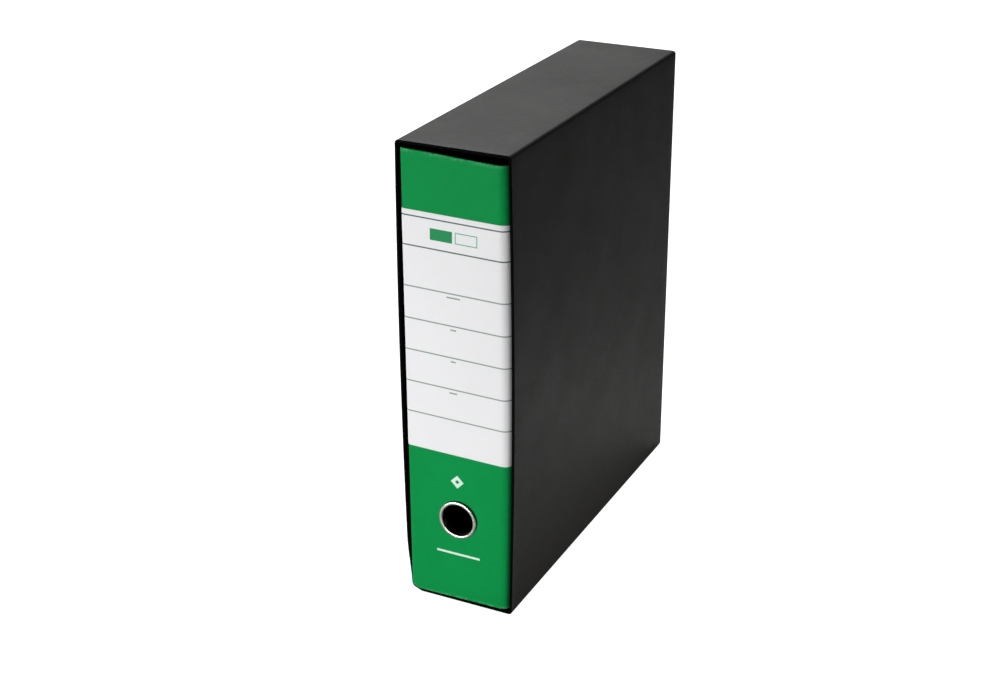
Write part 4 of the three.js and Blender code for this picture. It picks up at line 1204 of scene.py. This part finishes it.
# ---- Floor, light, camera ----
def floor():
    """A wide pale floor just under the case, white where the camera sees it."""
    corners = [(-6.0, -6.0, -0.0002), (6.0, -6.0, -0.0002), (6.0, 6.0, -0.0002), (-6.0, 6.0, -0.0002)]
    mesh = bpy.data.meshes.new("floor")
    mesh.from_pydata(corners, [], [(0, 1, 2, 3)])
    made = bpy.data.objects.new("floor", mesh)
    bpy.context.scene.collection.objects.link(made)
    pale, n, shader, _ = material("pale floor")
    shader.inputs["Base Color"].default_value = (0.5, 0.5, 0.5, 1.0)
    shader.inputs["Roughness"].default_value = 0.9
    shader.inputs["Specular IOR Level"].default_value = 0.1
    shader.inputs["Emission Color"].default_value = (1.0, 1.0, 1.0, 1.0)
    n.feed(shader.inputs["Emission Strength"], n.add("ShaderNodeLightPath").outputs["Is Camera Ray"])
    mesh.materials.append(pale)


def area_light(name, place, target, size, power):
    """A soft rectangular light that faces its target."""
    lamp = bpy.data.lights.new(name, "AREA")
    lamp.shape, lamp.size, lamp.size_y, lamp.energy = "RECTANGLE", *size, power
    made = bpy.data.objects.new(name, lamp)
    bpy.context.scene.collection.objects.link(made)
    made.location = place
    made.rotation_euler = (Vector(target) - Vector(place)).to_track_quat("-Z", "Y").to_euler()
    made.visible_camera = False
    return made


def studio():
    """Surroundings that look white but shine little, and five soft lights."""
    world = bpy.data.worlds.new("studio")
    bpy.context.scene.world = world
    world.use_nodes = True
    world.node_tree.nodes.clear()
    n = Nodes(world.node_tree)
    seen = n.add("ShaderNodeLightPath").outputs["Is Camera Ray"]
    strength = n.math("ADD", n.math("MULTIPLY", seen, 0.94), 0.06)
    back = n.add("ShaderNodeBackground", {"Color": (1.0, 1.0, 1.0, 1.0), "Strength": strength})
    n.add("ShaderNodeOutputWorld", {"Surface": back.outputs[0]})
    area_light("overhead", (-0.65, 0.55, 1.8), (0, 0, 0.2), (0.9, 0.9), 26)
    area_light("behind", (-0.95, 1.75, 1.15), (0, 0, 0.35), (1.6, 0.9), 4.5)
    area_light("front", (-0.9, -1.9, 0.12), (0, 0, 0.1), (1.2, 0.6), 30)
    low = area_light("low right", (0.22, 0.0, 0.03), (0.04, 0.0, 0.02), (0.5, 0.05), 0.5)
    low.visible_glossy = False
    area_light("low front", (-0.25, -0.95, 0.05), (0, -0.15, 0.05), (0.5, 0.15), 4.2)


CAMERA_PLACE = (0.50106, -1.09159, 0.69093)
CAMERA_TURN = (26.35, 24.34, -0.23)  # azimuth, elevation and roll in degrees
CAMERA_LENS = 61.12


def camera():
    """The viewing angle: from the right of the spine and above."""
    azimuth, elevation, roll = map(math.radians, CAMERA_TURN)
    outward = np.array([math.sin(azimuth), -math.cos(azimuth), 0.0])
    back = outward * math.cos(elevation) + np.array([0.0, 0.0, math.sin(elevation)])
    level = np.array([math.cos(azimuth), math.sin(azimuth), 0.0])
    upright = np.cross(back, level)
    right = math.cos(roll) * level + math.sin(roll) * upright
    up = -math.sin(roll) * level + math.cos(roll) * upright
    lens = bpy.data.cameras.new("camera")
    lens.sensor_width, lens.lens = 36.0, CAMERA_LENS
    lens.clip_start, lens.clip_end = 0.05, 50.0
    made = bpy.data.objects.new("camera", lens)
    bpy.context.scene.collection.objects.link(made)
    turn = Matrix(np.stack([right, up, back], 1).tolist()).to_4x4()
    made.matrix_world = Matrix.Translation(CAMERA_PLACE) @ turn
    bpy.context.scene.camera = made


floor()
studio()
camera()
bpy.context.scene.view_settings.view_transform = "Standard"

bpy.context.view_layer.update()
